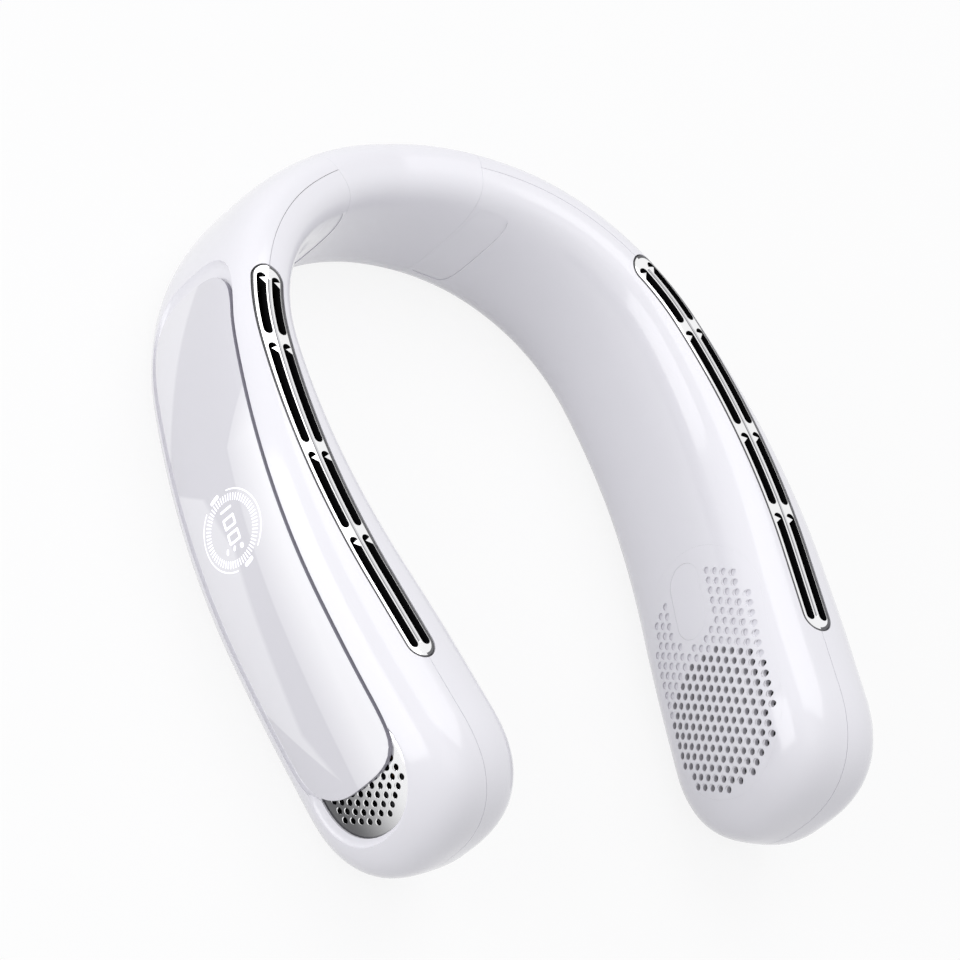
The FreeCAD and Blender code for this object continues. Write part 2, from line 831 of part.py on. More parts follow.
def screws():
    """The screws of one arm: four through the shells and two in the hinge leaf."""
    solids = []
    for run, height, seat in shell_screws():
        top = seat - fit_gap
        head = peg(run, height, screw_head, top - screw_head_height, top)
        shank = peg(run, height, screw_radius, top - screw_head_height - screw_grip, top - screw_head_height)
        solids.append(head.fuse(shank).removeSplitter())
    for run, height, seat in leaf_screws():
        low = -seat + seat_gap
        head = peg(run, height, screw_head, low, low + screw_head_height)
        shank = peg(run, height, screw_radius, low + screw_head_height, leaf_half_width - seat_gap)
        solids.append(head.fuse(shank).removeSplitter())
    return Part.makeCompound(solids)


def hinge_leaf():
    """The arm's half of the hinge: knuckle, strap and the foot that is screwed to the inner shell."""
    low, high = hinge_height - knuckle_half_height, hinge_height + knuckle_half_height
    foot_start = seam_run + leaf_foot_start
    foot_end = foot_start + leaf_foot_length
    knuckle = Part.makeCylinder(knuckle_radius, high - low, point(hinge_run, 0, low))
    strap = band(hinge_run, foot_end, -leaf_half_width, leaf_half_width, low, high)
    middle = section_centre(foot_start)
    deep = -(surface_offset(foot_start, middle + leaf_foot_half_height, inner_wall) - seam_gap)
    foot = band(foot_start, foot_end, deep, leaf_half_width,
                middle - leaf_foot_half_height, middle + leaf_foot_half_height)
    cuts = [Part.makeCylinder(pin_radius + run_fit, 2 * max_height, point(hinge_run, 0, -max_height))]
    for run, height, seat in leaf_screws():
        cuts.append(peg(run, height, screw_radius + run_fit, -seat - overrun, overrun))
    return fused(knuckle, [strap, foot]).cut(cuts)


def hinge_link():
    """The link inside the sleeve, with a fork for each hinge pin."""
    half = knuckle_half_height + seam_gap + fork_height
    stop = hinge_run - knuckle_radius - link_stop
    bar = band(-stop, stop, -link_half_width, link_half_width, hinge_height - half, hinge_height + half)
    parts, bores = [], []
    for way in (-1, 1):
        for low in (hinge_height - half, hinge_height + half - fork_height):
            run = way * hinge_run
            parts.append(Part.makeCylinder(fork_radius, fork_height, point(run, 0, low)))
            ends = sorted((way * (stop - link_half_width), run))
            parts.append(band(ends[0], ends[1], -link_half_width, link_half_width, low, low + fork_height))
        bores.append(Part.makeCylinder(pin_radius + press_fit, 2 * max_height, point(run, 0, -max_height)))
    return fused(bar, parts).cut(bores)


def hinge_pins():
    """The two upright hinge pins."""
    half = knuckle_half_height + seam_gap + fork_height
    feet = [point(way * hinge_run, 0, hinge_height - half) for way in (-1, 1)]
    return Part.makeCompound([Part.makeCylinder(pin_radius, 2 * half, foot) for foot in feet])


def neck_sleeve():
    """The soft tube behind the neck that joins the two arms."""
    steps = max(2, round(2 * seam_run / station_step))
    runs = [seam_run * (2 * step / steps - 1) for step in range(steps + 1)]
    outer = Part.makeLoft([section_wire(run, 0) for run in runs], True, False)
    stretch = 1 + overrun / seam_run
    hollow = Part.makeLoft([section_wire(run * stretch, sleeve_wall) for run in runs], True, False)
    return outer.cut(hollow).cut(below_rest)


def button_bar(growth, inner, outer):
    """The button's long round outline as a bar through the arm's inner side."""
    reach_along = button_half_length - button_half_width
    return fan_slot(-button_set_back - reach_along, -button_set_back + reach_along, -button_drop,
                    button_half_width + growth, inner, outer)


def power_button():
    """The long round button with the flange that keeps it in and its stem."""
    face = button_bar(0, -reach, -overrun).common(arm_form)
    cap = face.cut(button_bar(overrun, button_back, 0))
    flange = button_bar(button_flange, button_back, button_back + button_flange_height)
    stem = fan_bar(button_stem, button_back, stem_end, -button_set_back, -button_drop)
    return fused(cap, [flange, stem])


def button_switch():
    """The push switch behind the button."""
    half = switch_size / 2
    body = fan_block(-button_set_back - half, switch_size, -button_drop - half, switch_size,
                     board_face - switch_height, board_face)
    plunger = fan_bar(switch_plunger, plunger_end, board_face - switch_height, -button_set_back, -button_drop)
    return fused(body, [plunger])


def control_board():
    """The board that carries the push switch."""
    length = board_lead + board_tail
    return fan_block(-button_set_back - board_lead, length, -button_drop - board_half_height,
                     2 * board_half_height, board_face, board_face + board_thickness)


def board_posts():
    """Posts on the intake panel's back that carry the control board."""
    posts = []
    for ahead in (board_post - board_lead, board_tail - board_post):
        run = fan_run - button_set_back + ahead
        for side in (-1, 1):
            up = -button_drop + side * (board_half_height - board_post)
            foot = -(surface_offset(run, fan_height + up) - panel_thickness / 2)
            posts.append(fan_bar(board_post, foot, board_face - seat_gap, ahead - button_set_back, up))
    return posts


def socket_outline(growth, low, high):
    """The charging socket's long round outline as an upright bar on the parting line."""
    half = socket_width / 2 + growth
    reach_along = socket_length / 2 - socket_width / 2
    run = seam_run + socket_run
    edges = []

    def place(ahead, aside):
        return point(run, parting_offset + aside) + along(run) * ahead
    for side in (-1, 1):
        edges.append(line_edge(place(-reach_along, side * half), place(reach_along, side * half)))
    for way in (-1, 1):
        ends = [place(way * reach_along, side * half) for side in (-1, 1)]
        edges.append(Part.Arc(ends[0], place(way * (reach_along + half), 0), ends[1]).toShape())
    return prism(edges, low, high)


def charge_socket():
    """The charging socket: a thin metal sleeve with its back wall and tongue."""
    sleeve = socket_outline(0, 0, socket_depth)
    sleeve = sleeve.cut(socket_outline(-socket_wall, -overrun, socket_depth - socket_wall))
    run = seam_run + socket_run
    half, thick = (socket_length - socket_width) / 2, socket_tongue / 2
    tongue = band(run - half, run + half, parting_offset - thick, parting_offset + thick,
                  socket_tongue_set, socket_depth - socket_wall)
    return fused(sleeve, [tongue])


def charge_board():
    """The small board on which the charging socket stands, let in between the shells."""
    run = seam_run + socket_run
    half, low = charge_board_length / 2, socket_depth + seat_gap
    board = band(run - half, run + half, -reach, reach, low, low + board_thickness)
    return board.common(body_form(arm_start, outer_wall + seat_gap))


def dial_bar(radius, inner, outer):
    """A round bar at the display's place on the arm's outer side."""
    run = fan_run - dial_set_back
    return peg(run, dial_height_share * height_at(run), radius, inner, outer)


def dial_front():
    """Offset of the display's flat front, just under the cover."""
    run = fan_run - dial_set_back
    return half_width(run) - cover_thickness - dial_dip


def display_guide():
    """The clear disc of the display behind the cover."""
    return dial_bar(dial_radius, dial_front() - dial_guide, dial_front())


def display_board():
    """The round board behind the display's disc."""
    back = dial_front() - dial_guide - seat_gap
    return dial_bar(dial_radius, back - board_thickness, back)


def build():
    """Every piece by its node's name."""
    shared_right = {
        "vent_strip": vent_strip(), "vent_duct": vent_duct(), "side_cover": side_cover(),
        "intake_grille": intake_grille(), "motor_bracket": motor_bracket(),
        "motor_bearings": motor_bearings(), "motor_stator": motor_stator(),
        "rotor_magnet": rotor_magnet(), "motor_shaft": motor_shaft(), "impeller": impeller(),
        "fan_scroll": fan_scroll(), "battery": battery(), "battery_cradle": battery_cradle(),
        "arm_screws": screws(), "hinge_leaf": hinge_leaf(), "hinge_cover": hinge_cover(),
    }
    pieces = {"neck_sleeve": neck_sleeve(), "hinge_link": hinge_link(), "hinge_pins": hinge_pins()}
    for name, shape in shared_right.items():
        pieces["right_" + name] = shape
        pieces["left_" + name] = mirrored(shape)
    outer, inner = outer_shell(), inner_shell()
    socket_space = socket_outline(fit_gap, -overrun, outer_wall + overrun)
    pieces["right_outer_shell"] = outer.cut(socket_space)
    pieces["right_inner_shell"] = inner.cut(socket_space)
    display_space = dial_bar(dial_radius + fit_gap, 0, reach)
    pieces["left_outer_shell"] = mirrored(outer.cut(display_space))
    pieces["left_inner_shell"] = mirrored(inner)
    pieces["right_intake_panel"] = intake_panel(True)
    pieces["left_intake_panel"] = mirrored(intake_panel(False))
    pieces["display_guide"] = mirrored(display_guide())
    pieces["display_board"] = mirrored(display_board())
    pieces["power_button"] = power_button()
    pieces["button_switch"] = button_switch()
    pieces["control_board"] = control_board()
    pieces["charge_socket"] = charge_socket()
    pieces["charge_board"] = charge_board()
    return pieces


if __name__ == "__main__":
    os.makedirs("parts", exist_ok=True)
    for node, shape in build().items():
        shape.exportStep("parts/" + node + ".step")
        box = shape.BoundBox
        print(node, len(shape.Solids), shape.isValid(), round(shape.Volume, 1),
              [round(value, 1) for value in (box.XMin, box.XMax, box.YMin, box.YMax, box.ZMin, box.ZMax)])
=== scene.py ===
import logging
import math
from dataclasses import dataclass, field
from enum import Enum
from typing import Callable, Optional, Sequence

import bmesh
import bpy
import numpy as np
from mathutils import Matrix, Vector


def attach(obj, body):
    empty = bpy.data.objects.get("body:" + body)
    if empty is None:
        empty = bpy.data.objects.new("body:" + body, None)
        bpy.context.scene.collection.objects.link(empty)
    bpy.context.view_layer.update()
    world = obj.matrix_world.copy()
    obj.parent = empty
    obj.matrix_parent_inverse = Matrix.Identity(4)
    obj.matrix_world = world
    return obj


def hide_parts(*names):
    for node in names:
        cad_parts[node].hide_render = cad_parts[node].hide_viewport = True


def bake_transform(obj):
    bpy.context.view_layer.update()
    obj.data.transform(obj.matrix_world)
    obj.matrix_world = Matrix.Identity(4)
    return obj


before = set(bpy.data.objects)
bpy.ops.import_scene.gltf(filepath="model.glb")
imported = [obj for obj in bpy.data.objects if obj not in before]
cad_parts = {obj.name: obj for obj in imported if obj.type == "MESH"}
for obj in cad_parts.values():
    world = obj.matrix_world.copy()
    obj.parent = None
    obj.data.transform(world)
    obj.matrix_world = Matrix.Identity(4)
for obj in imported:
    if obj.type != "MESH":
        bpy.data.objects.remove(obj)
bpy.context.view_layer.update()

LOG = logging.getLogger("neck_fan")
MM = 0.001
WELD = 2e-7
MOST_RISE = 0.999
LEAST_HALF = 0.05
Pair = tuple[float, float]
Triple = tuple[float, float, float]
Inputs = dict[str | int, object]
Tree = bpy.types.NodeTree
Socket = bpy.types.NodeSocket
Face = bpy.types.MeshPolygon
Piece = bpy.types.Object


class Side(Enum):
    """The side of an arm that an outline lies on."""

    OUTER = "outer"
    INNER = "inner"
    TOP = "top"


class Hand(Enum):
    """The arm that a piece belongs to."""

    LEFT = "left"
    RIGHT = "right"


class Cut(Enum):
    """What a cutting shape does to the piece it meets."""

    AWAY = "DIFFERENCE"
    WITHIN = "INTERSECT"


class Grain(Enum):
    """The small-scale pattern that a finish carries."""

    ORANGE_PEEL = "orange peel"
    BRUSHED = "brushed"
    WOUND = "wound"
    TRACES = "traces"


# ---------------------------------------------------------------- finishes


def fill_inputs(tree: Tree, node: bpy.types.Node, inputs: Inputs) -> None:
    """Fills a node's inputs.

    Args:
        tree: Node tree that the node stands in.
        node: Node to fill.
        inputs: Socket to link or value to set, for each named or numbered input.
    """
    for name, value in inputs.items():
        if isinstance(value, Socket):
            tree.links.new(value, node.inputs[name])
        else:
            node.inputs[name].default_value = value


def add_node(tree: Tree, kind: str, inputs: Inputs, **options: object) -> bpy.types.Node:
    """Adds a shader node.

    Args:
        tree: Node tree of a material or the world.
        kind: Kind of the node, as Blender names it after ShaderNode.
        inputs: Socket to link or value to set, for each named or numbered input.
        options: Settings of the node itself.

    Returns:
        The new node.
    """
    node = tree.nodes.new(f"ShaderNode{kind}")
    for name, value in options.items():
        setattr(node, name, value)
    fill_inputs(tree, node, inputs)
    return node


@dataclass(frozen=True)
class Finish:
    """A moulded, plated or painted surface as a node material.

    The colour drifts slowly over the piece, and a fine grain varies its roughness and relief.
    """

    name: str
    tone: Triple
    drift: Triple
    roughness: Pair
    metallic: float = 0.0
    coat: float = 0.0
    coat_roughness: float = 0.04
    specular: float = 0.5
    glow: float = 0.0
    drift_scale: float = 22.0
    drift_detail: float = 3.0
    grain: Grain = Grain.ORANGE_PEEL
    grain_scale: float = 850.0
    grain_depth: float = 0.02
    relief: float = 0.0004
    peel_detail: float = 2.0
    brush_detail: float = 4.0
    brush_stretch: Triple = (1.0, 0.08, 1.0)
    winding_wobble: float = 0.6

    def material(self) -> bpy.types.Material:
        """Returns the material, made on first use, under a name that no slot of the frame has."""
        made = bpy.data.materials.get(f"{self.name}_finish")
        return made if made else self._make()

    def _make(self) -> bpy.types.Material:
        """Builds the node tree.

        Returns:
            The new material.
        """
        material = bpy.data.materials.new(f"{self.name}_finish")
        material.use_nodes = True
        tree = material.node_tree
        shader = next(node for node in tree.nodes if node.type == "BSDF_PRINCIPLED")
        place = tree.nodes.new("ShaderNodeTexCoord").outputs["Object"]
        colour = add_node(tree, "Mix", {"Factor": self._spread(tree, place), "A": (*self.tone, 1.0),
                                        "B": (*self.drift, 1.0)}, data_type="RGBA").outputs["Result"]
        fine = self._pattern(tree, place)
        spread = add_node(tree, "MapRange", {"Value": fine, "To Min": self.roughness[0],
                                             "To Max": self.roughness[1]})
        relief = add_node(tree, "Bump", {"Height": fine, "Strength": self.grain_depth, "Distance": self.relief})
        fill_inputs(tree, shader, {
            "Base Color": colour, "Metallic": self.metallic, "Specular IOR Level": self.specular,
            "Coat Weight": self.coat, "Coat Roughness": self.coat_roughness,
            "Roughness": spread.outputs["Result"], "Normal": relief.outputs["Normal"]})
        if self.glow:
            fill_inputs(tree, shader, {"Emission Color": colour, "Emission Strength": self.glow})
        return material

    def _spread(self, tree: Tree, place: Socket) -> Socket:
        """The share of the second colour at a place."""
        return self._noise(tree, place, self.drift_scale, self.drift_detail)

    def _pattern(self, tree: Tree, place: Socket) -> Socket:
        """Adds the fine pattern that the grain names.

        Args:
            tree: Node tree of the material.
            place: Socket with Object coordinates.

        Returns:
            The socket that carries the pattern, from 0 to 1.
        """
        if self.grain is Grain.ORANGE_PEEL:
            return self._noise(tree, place, self.grain_scale, self.peel_detail)
        if self.grain is Grain.BRUSHED:
            stretched = add_node(tree, "Mapping", {"Vector": place, "Scale": self.brush_stretch})
            return self._noise(tree, stretched.outputs["Vector"], self.grain_scale, self.brush_detail)
        inputs = {"Vector": place, "Scale": self.grain_scale}
        if self.grain is Grain.WOUND:
            return add_node(tree, "TexWave", inputs | {"Distortion": self.winding_wobble}).outputs["Fac"]
        return add_node(tree, "TexVoronoi", inputs, distance="MANHATTAN").outputs["Distance"]

    @staticmethod
    def _noise(tree: Tree, place: Socket, scale: float, detail: float) -> Socket:
        """Adds a noise texture of some cells per metre and some octaves."""
        return add_node(tree, "TexNoise", {"Vector": place, "Scale": scale, "Detail": detail}).outputs["Fac"]


@dataclass(frozen=True)
class PaintedReflectionFinish(Finish):
    """A finish with a painted reflection: its first colour gives way to its second with the height, between two
    heights in metres.
    """

    fade: Pair = (0.0, 0.05)

    def _spread(self, tree: Tree, place: Socket) -> Socket:
        """The share of the second colour at a place."""
        height = add_node(tree, "SeparateXYZ", {"Vector": place}).outputs["Z"]
        return add_node(tree, "MapRange", {"Value": height, "From Min": self.fade[0], "From Max": self.fade[1]},
                        interpolation_type="SMOOTHSTEP").outputs["Result"]


@dataclass(frozen=True)
class PaintedSheenFinish(Finish):
    """A glossy lacquer with painted sheen: its colour lightens in two bands along an arm's side as painted
    reflections, the lower one short of its front corner, which is painted darker.

    A line is a height in metres at y = 0 and its rise along y. A band's edge is the highest of its lines,
    and the lower band also reaches up to the lowest of its caps.
    """

    # Painted sheen: the upper band paints a bright reflection along the cover's top, the lower band a softer one,
    # and the corner line a darker front corner.
    upper: tuple[Pair, ...] = ((0.0342, 0.042), (0.0236, 0.71))
    lower: tuple[Pair, ...] = ((-0.0027, 0.47), (0.0023, -0.288))
    lower_caps: tuple[Pair, ...] = ((0.0325, -1.6), (0.0227, -0.32), (0.0275, 0.10))
    corner: tuple[Pair, ...] = ((-0.0174, -0.531),)
    edge_share: float = 0.33
    band: float = 0.0105
    lower_share: float = 0.55
    upper_blur: float = 0.0004
    lower_blur: float = 0.0008
    corner_blur: float = 0.0003

    def _spread(self, tree: Tree, place: Socket) -> Socket:
        """The share of the second, lighter colour at a place, which paints the sheen bands and the darker corner.

        Args:
            tree: Node tree of the material.
            place: Socket with Object coordinates.

        Returns:
            The socket that carries the share.
        """
        parts = add_node(tree, "SeparateXYZ", {"Vector": place})
        height = parts.outputs["Z"]
        above = self._math(tree, "SUBTRACT", height, self._line(tree, parts, self.upper))
        edge = self._ramp(tree, above, (-self.upper_blur, self.upper_blur), self.edge_share)
        rise = self._ramp(tree, above, (0.0, self.band), 1.0 - self.edge_share)
        level = self._math(tree, "MAXIMUM", self._line(tree, parts, self.lower),
                           self._line(tree, parts, self.lower_caps, "MINIMUM"))
        below = self._math(tree, "SUBTRACT", level, height)
        under = self._ramp(tree, below, (-self.lower_blur, self.lower_blur), self.lower_share)
        low = self._math(tree, "SUBTRACT", self._line(tree, parts, self.corner), height)
        dark = self._ramp(tree, low, (-self.corner_blur, self.corner_blur), -self.lower_share)
        upper = self._math(tree, "ADD", edge, rise)
        return self._math(tree, "ADD", upper, self._math(tree, "ADD", under, dark))

    def _line(self, tree: Tree, parts: bpy.types.Node, lines: tuple[Pair, ...],
              choice: str = "MAXIMUM") -> Socket:
        """Height of the highest or lowest of some lines.

        Args:
            tree: Node tree of the material.
            parts: Node with the separate coordinates.
            lines: Height at y = 0 and rise along y of each line.
            choice: Operation that picks between two lines.

        Returns:
            The socket that carries the height.
        """
        level = None
        for height, rise in lines:
            line = self._math(tree, "MULTIPLY_ADD", parts.outputs["Y"], rise, height)
            level = self._math(tree, choice, level, line) if level else line
        return level

    @staticmethod
    def _ramp(tree: Tree, value: Socket, span: Pair, result: float) -> Socket:
        """Rises from 0 to a result over a span of a value, and holds both ends."""
        return add_node(tree, "MapRange", {"Value": value, "From Min": span[0], "From Max": span[1],
                                           "To Min": 0.0, "To Max": result}).outputs["Result"]

    @staticmethod
    def _math(tree: Tree, operation: str, *values: "Socket | float") -> Socket:
        """Adds a math node with sockets or numbers as its inputs."""
        return add_node(tree, "Math", dict(enumerate(values)), operation=operation).outputs["Value"]


BODY_GLOSS = Finish("body_gloss", (0.89, 0.883, 0.93), (0.875, 0.868, 0.915), (0.12, 0.17), coat=0.25,
                    grain_depth=0.008)
# Painted sheen: the cover's grey gives way to near white in bands where the glossy cover would show reflections.
COVER_PAINTED_SHEEN = PaintedSheenFinish("cover_gloss", (0.735, 0.727, 0.775), (0.975, 0.97, 1.0), (0.05, 0.09), coat=0.5,
                          grain_depth=0.006)
COVER_EDGE = Finish("cover_edge", (0.30, 0.29, 0.34), (0.33, 0.32, 0.37), (0.25, 0.35))
# Painted shade: grey for the walls of the panel's holes and dimples.
SCREEN_WELL_PAINTED_SHADE = Finish("screen_well", (0.66, 0.65, 0.69), (0.62, 0.61, 0.65), (0.4, 0.5))
BUTTON_SATIN = Finish("button_satin", (0.905, 0.898, 0.942), (0.89, 0.883, 0.93), (0.16, 0.2), grain_depth=0.005)
SLEEVE_SILICONE = Finish("sleeve_silicone", (0.895, 0.888, 0.935), (0.88, 0.873, 0.92), (0.2, 0.26),
                         grain_depth=0.006)
TRIM_CHROME = Finish("trim_chrome", (0.93, 0.93, 0.935), (0.86, 0.86, 0.87), (0.05, 0.10), metallic=1.0,
                     drift_scale=60.0, grain_depth=0.01)
# Painted shade: dark metal on the strip's rim, standing in for the shadow of its gap and a dark reflection.
TRIM_RIM_PAINTED_SHADE = Finish("trim_shade", (0.10, 0.10, 0.105), (0.15, 0.15, 0.155), (0.15, 0.25), metallic=1.0)
# Painted shade: grey metal in the strip's shallow middle groove.
TRIM_GROOVE_PAINTED_SHADE = Finish("trim_ridge", (0.22, 0.22, 0.23), (0.28, 0.28, 0.29), (0.12, 0.2), metallic=1.0)
# Painted reflection: the grille's chrome is dark grey low down and bright high up.
GRILLE_CHROME_PAINTED_REFLECTION = PaintedReflectionFinish("grille_chrome", (0.13, 0.13, 0.135), (0.90, 0.90, 0.91), (0.12, 0.2), metallic=1.0,
                             grain_depth=0.01, fade=(0.018, 0.044))
BLACK_PLASTIC = Finish("black_plastic", (0.012, 0.012, 0.014), (0.02, 0.02, 0.022), (0.5, 0.7), grain_depth=0.1)
# Painted shade: near black with almost no specular, on the walls of slots and holes and on the duct seen through
# them, where the inside would be in shadow.
SLOT_PAINTED_SHADE = Finish("slot_black", (0.004, 0.004, 0.005), (0.007, 0.007, 0.008), (0.8, 0.9), specular=0.05)
LIT_MARK = Finish("lit_mark", (0.98, 0.98, 1.0), (0.95, 0.95, 1.0), (0.3, 0.4), glow=0.35)
SATIN_STEEL = Finish("satin_steel", (0.58, 0.58, 0.60), (0.50, 0.50, 0.52), (0.25, 0.4), metallic=1.0,
                     grain=Grain.BRUSHED, grain_scale=2500.0, grain_depth=0.05)
COPPER_WINDING = Finish("copper_winding", (0.55, 0.26, 0.12), (0.40, 0.17, 0.07), (0.25, 0.5), metallic=1.0,
                        grain=Grain.WOUND, grain_scale=900.0, grain_depth=0.4)
FERRITE = Finish("ferrite", (0.05, 0.05, 0.055), (0.09, 0.09, 0.095), (0.5, 0.8), grain_depth=0.2)
CELL_WRAP = Finish("cell_wrap", (0.10, 0.22, 0.48), (0.08, 0.18, 0.42), (0.2, 0.35), grain=Grain.BRUSHED,
                   grain_scale=700.0)
SOLDER_MASK = Finish("solder_mask", (0.015, 0.11, 0.05), (0.03, 0.17, 0.08), (0.25, 0.5), grain=Grain.TRACES,
                     grain_scale=420.0, grain_depth=0.2)
FAN_PLASTIC = Finish("fan_plastic", (0.05, 0.05, 0.055), (0.07, 0.07, 0.075), (0.35, 0.5), grain_depth=0.05)


# ---------------------------------------------------------------- form of the body


@dataclass(frozen=True)
class ArmForm:
    """Plan line and section that the housing, its covers and its trims all follow.

    Lengths are millimetres. A run is measured along the plan line from the middle of the nape,
    an offset square to it, outwards positive. Points come out in metres, for the right arm.
    """

    arcs: tuple[Pair, ...] = (
        (92.0, math.radians(25.0)), (66.7, math.radians(54.0)), (215.6, math.radians(20.5)))
    end_run: float = 74.4
    nape_y: float = 97.98314
    rear_width: float = 22.3
    end_width: float = 41.0
    grows_from: float = 70.0
    grows_over: float = 142.0
    rear_height: float = 45.0
    end_height: float = 61.5
    power: float = 3.0
    rest_flat: float = 0.4
    cap_length: float = 30.8
    cap_power: float = 2.4
    cap_width_power: float = 0.8

    @property
    def line_run(self) -> float:
        """Run of the arm's tip."""
        return sum(radius * turn for radius, turn in self.arcs) + self.end_run

    def state(self, run: np.ndarray) -> tuple[np.ndarray, np.ndarray, np.ndarray]:
        """Follows the plan line.

        Args:
            run: Runs along the line.

        Returns:
            x, y and heading at each run. The heading turns from +X towards -Y.
        """
        left = np.array(run, dtype=float)
        x, y, heading = np.zeros_like(left), np.full_like(left, self.nape_y), np.zeros_like(left)
        for radius, turn in self.arcs:
            step = np.clip(left / radius, 0.0, turn)
            x = x + radius * (np.sin(heading + step) - np.sin(heading))
            y = y + radius * (np.cos(heading + step) - np.cos(heading))
            heading = heading + step
            left = left - radius * turn
        ahead = np.maximum(left, 0.0)
        return x + ahead * np.cos(heading), y - ahead * np.sin(heading), heading

    def point(self, run: np.ndarray, offset: np.ndarray, height: np.ndarray) -> np.ndarray:
        """Places runs, offsets and heights in the frame.

        Args:
            run: Runs along the plan line.
            offset: Offsets from the line.
            height: Heights above the floor.

        Returns:
            One point in metres per row.
        """
        x, y, heading = self.state(run)
        spots = (x + offset * np.sin(heading), y + offset * np.cos(heading), height + 0.0 * x)
        return MM * np.stack(spots, axis=-1)

    def outward(self, run: float) -> Vector:
        """Unit vector square to the plan line, away from the neck."""
        heading = float(self.state(np.array([run]))[2][0])
        return Vector((math.sin(heading), math.cos(heading), 0.0))

    def cap_share(self, run: np.ndarray) -> np.ndarray:
        """Share of the full section that is left at a run, 0 at the tip."""
        depth = np.clip((run - self.line_run + self.cap_length) / self.cap_length, 0.0, 1.0)
        return (1.0 - depth ** self.cap_power) ** (1.0 / self.cap_power)

    def half_width(self, run: np.ndarray) -> np.ndarray:
        """Half width of the section at a run."""
        grown = np.clip((np.abs(run) - self.grows_from) / self.grows_over, 0.0, 1.0)
        full = self.rear_width + (self.end_width - self.rear_width) * grown ** 2 * (3.0 - 2.0 * grown)
        return full / 2.0 * self.cap_share(run) ** self.cap_width_power

    def height(self, run: np.ndarray) -> np.ndarray:
        """Height of the top edge at a run, before the end is rounded."""
        return self.rear_height + (self.end_height - self.rear_height) * np.abs(run) / self.line_run

    def centre(self, run: np.ndarray) -> np.ndarray:
        """Height of the middle of the section."""
        return (self.height(run) - self.rest_flat) / 2.0

    def half_height(self, run: np.ndarray) -> np.ndarray:
        """Half height of the section, down to just below the floor."""
        return (self.height(run) + self.rest_flat) / 2.0 * self.cap_share(run)

    def section(self, run: float, ring: np.ndarray, inset: float) -> np.ndarray:
        """Sets a unit ring on the section at a run.

        Args:
            run: Run of the section.
            ring: Points of the unit superellipse.
            inset: Distance inside the skin.

        Returns:
            The ring's points, flattened where they would reach below the floor's plane plus the inset.
        """
        runs = np.full(len(ring), run)
        wide = np.maximum(self.half_width(runs) - inset, 0.0)
        high = np.maximum(self.half_height(runs) - inset, 0.0)
        height = np.maximum(self.centre(runs) + high * ring[:, 1], inset)
        return self.point(runs, wide * ring[:, 0], height)

    def skin(self, side: Side, flat: np.ndarray, depth: float = 0.0) -> np.ndarray:
        """Lays flat places onto the skin.

        Args:
            side: Side of the arm.
            flat: Rows of run and height, or run and offset on the top.
            depth: Distance under the skin, square to the plan line or straight down.

        Returns:
            One point in metres per row.
        """
        run, across = flat[:, 0], flat[:, 1]
        if side is Side.TOP:
            rise = np.clip(np.abs(across) / self.half_width(run), 0.0, MOST_RISE)
            top = self.half_height(run) * (1.0 - rise ** self.power) ** (1.0 / self.power)
            return self.point(run, across, self.centre(run) + top - depth)
        high = np.maximum(self.half_height(run), 1e-6)
        rise = np.clip(np.abs(across - self.centre(run)) / high, 0.0, MOST_RISE)
        reach = self.half_width(run) * (1.0 - rise ** self.power) ** (1.0 / self.power) - depth
        return self.point(run, reach if side is Side.OUTER else -reach, across)

    def locate(self, points: np.ndarray) -> tuple[np.ndarray, np.ndarray, np.ndarray]:
        """Reads points back onto the plan line.

        Args:
            points: Points in metres, on either arm.

        Returns:
            Run, offset and height of each point.
        """
        x, y, height = np.abs(points[:, 0]) / MM, points[:, 1] / MM, points[:, 2] / MM
        run, offset, open_ = np.zeros_like(x), np.zeros_like(x), np.ones(len(x), dtype=bool)
        px, py, heading, passed = 0.0, self.nape_y, 0.0, 0.0
        for radius, turn in self.arcs:
            cx, cy = px - radius * math.sin(heading), py - radius * math.cos(heading)
            angle = np.arctan2(x - cx, y - cy)
            here = open_ & (angle <= heading + turn)
            run[here] = passed + radius * (angle[here] - heading)
            offset[here] = np.hypot(x - cx, y - cy)[here] - radius
            open_ &= ~here
            heading, passed = heading + turn, passed + radius * turn
            px, py = cx + radius * math.sin(heading), cy + radius * math.cos(heading)
        sine, cosine = math.sin(heading), math.cos(heading)
        run[open_] = passed + ((x - px) * cosine - (y - py) * sine)[open_]
        offset[open_] = ((x - px) * sine + (y - py) * cosine)[open_]
        return run, offset, height

    def level(self, points: np.ndarray) -> np.ndarray:
        """Tells how points lie to the skin.

        Args:
            points: Points in metres, on either arm.

        Returns:
            1 on the skin, less inside it and more outside it.
        """
        run, offset, height = self.locate(points)
        wide = np.maximum(self.half_width(run), LEAST_HALF)
        high = np.maximum(self.half_height(run), LEAST_HALF)
        return (np.abs(offset) / wide) ** self.power + (np.abs(height - self.centre(run)) / high) ** self.power

    def slope(self, points: np.ndarray) -> tuple[np.ndarray, np.ndarray]:
        """Measures the skin's direction and distance at points.

        Args:
            points: Points in metres, on either arm.

        Returns:
            The unit outward direction and the distance above the skin in metres.
        """
        step = 0.02 * MM
        rise = np.stack([self.level(points + step * axis) - self.level(points - step * axis)
                         for axis in np.eye(3)], axis=-1) / (2.0 * step)
        length = np.maximum(np.linalg.norm(rise, axis=1), 1e-9)
        return rise / length[:, None], (self.level(points) - 1.0) / length


FORM = ArmForm()


def even_curve(dense: np.ndarray, count: int) -> np.ndarray:
    """Spaces points evenly along a curve.

    Args:
        dense: Closely spaced points of the curve.
        count: Number of steps wanted.

    Returns:
        count + 1 points from the curve's start to its end.
    """
    length = np.concatenate([[0.0], np.cumsum(np.linalg.norm(np.diff(dense, axis=0), axis=1))])
    wanted = np.linspace(0.0, length[-1], count + 1)
    return np.stack([np.interp(wanted, length, dense[:, axis]) for axis in (0, 1)], axis=-1)


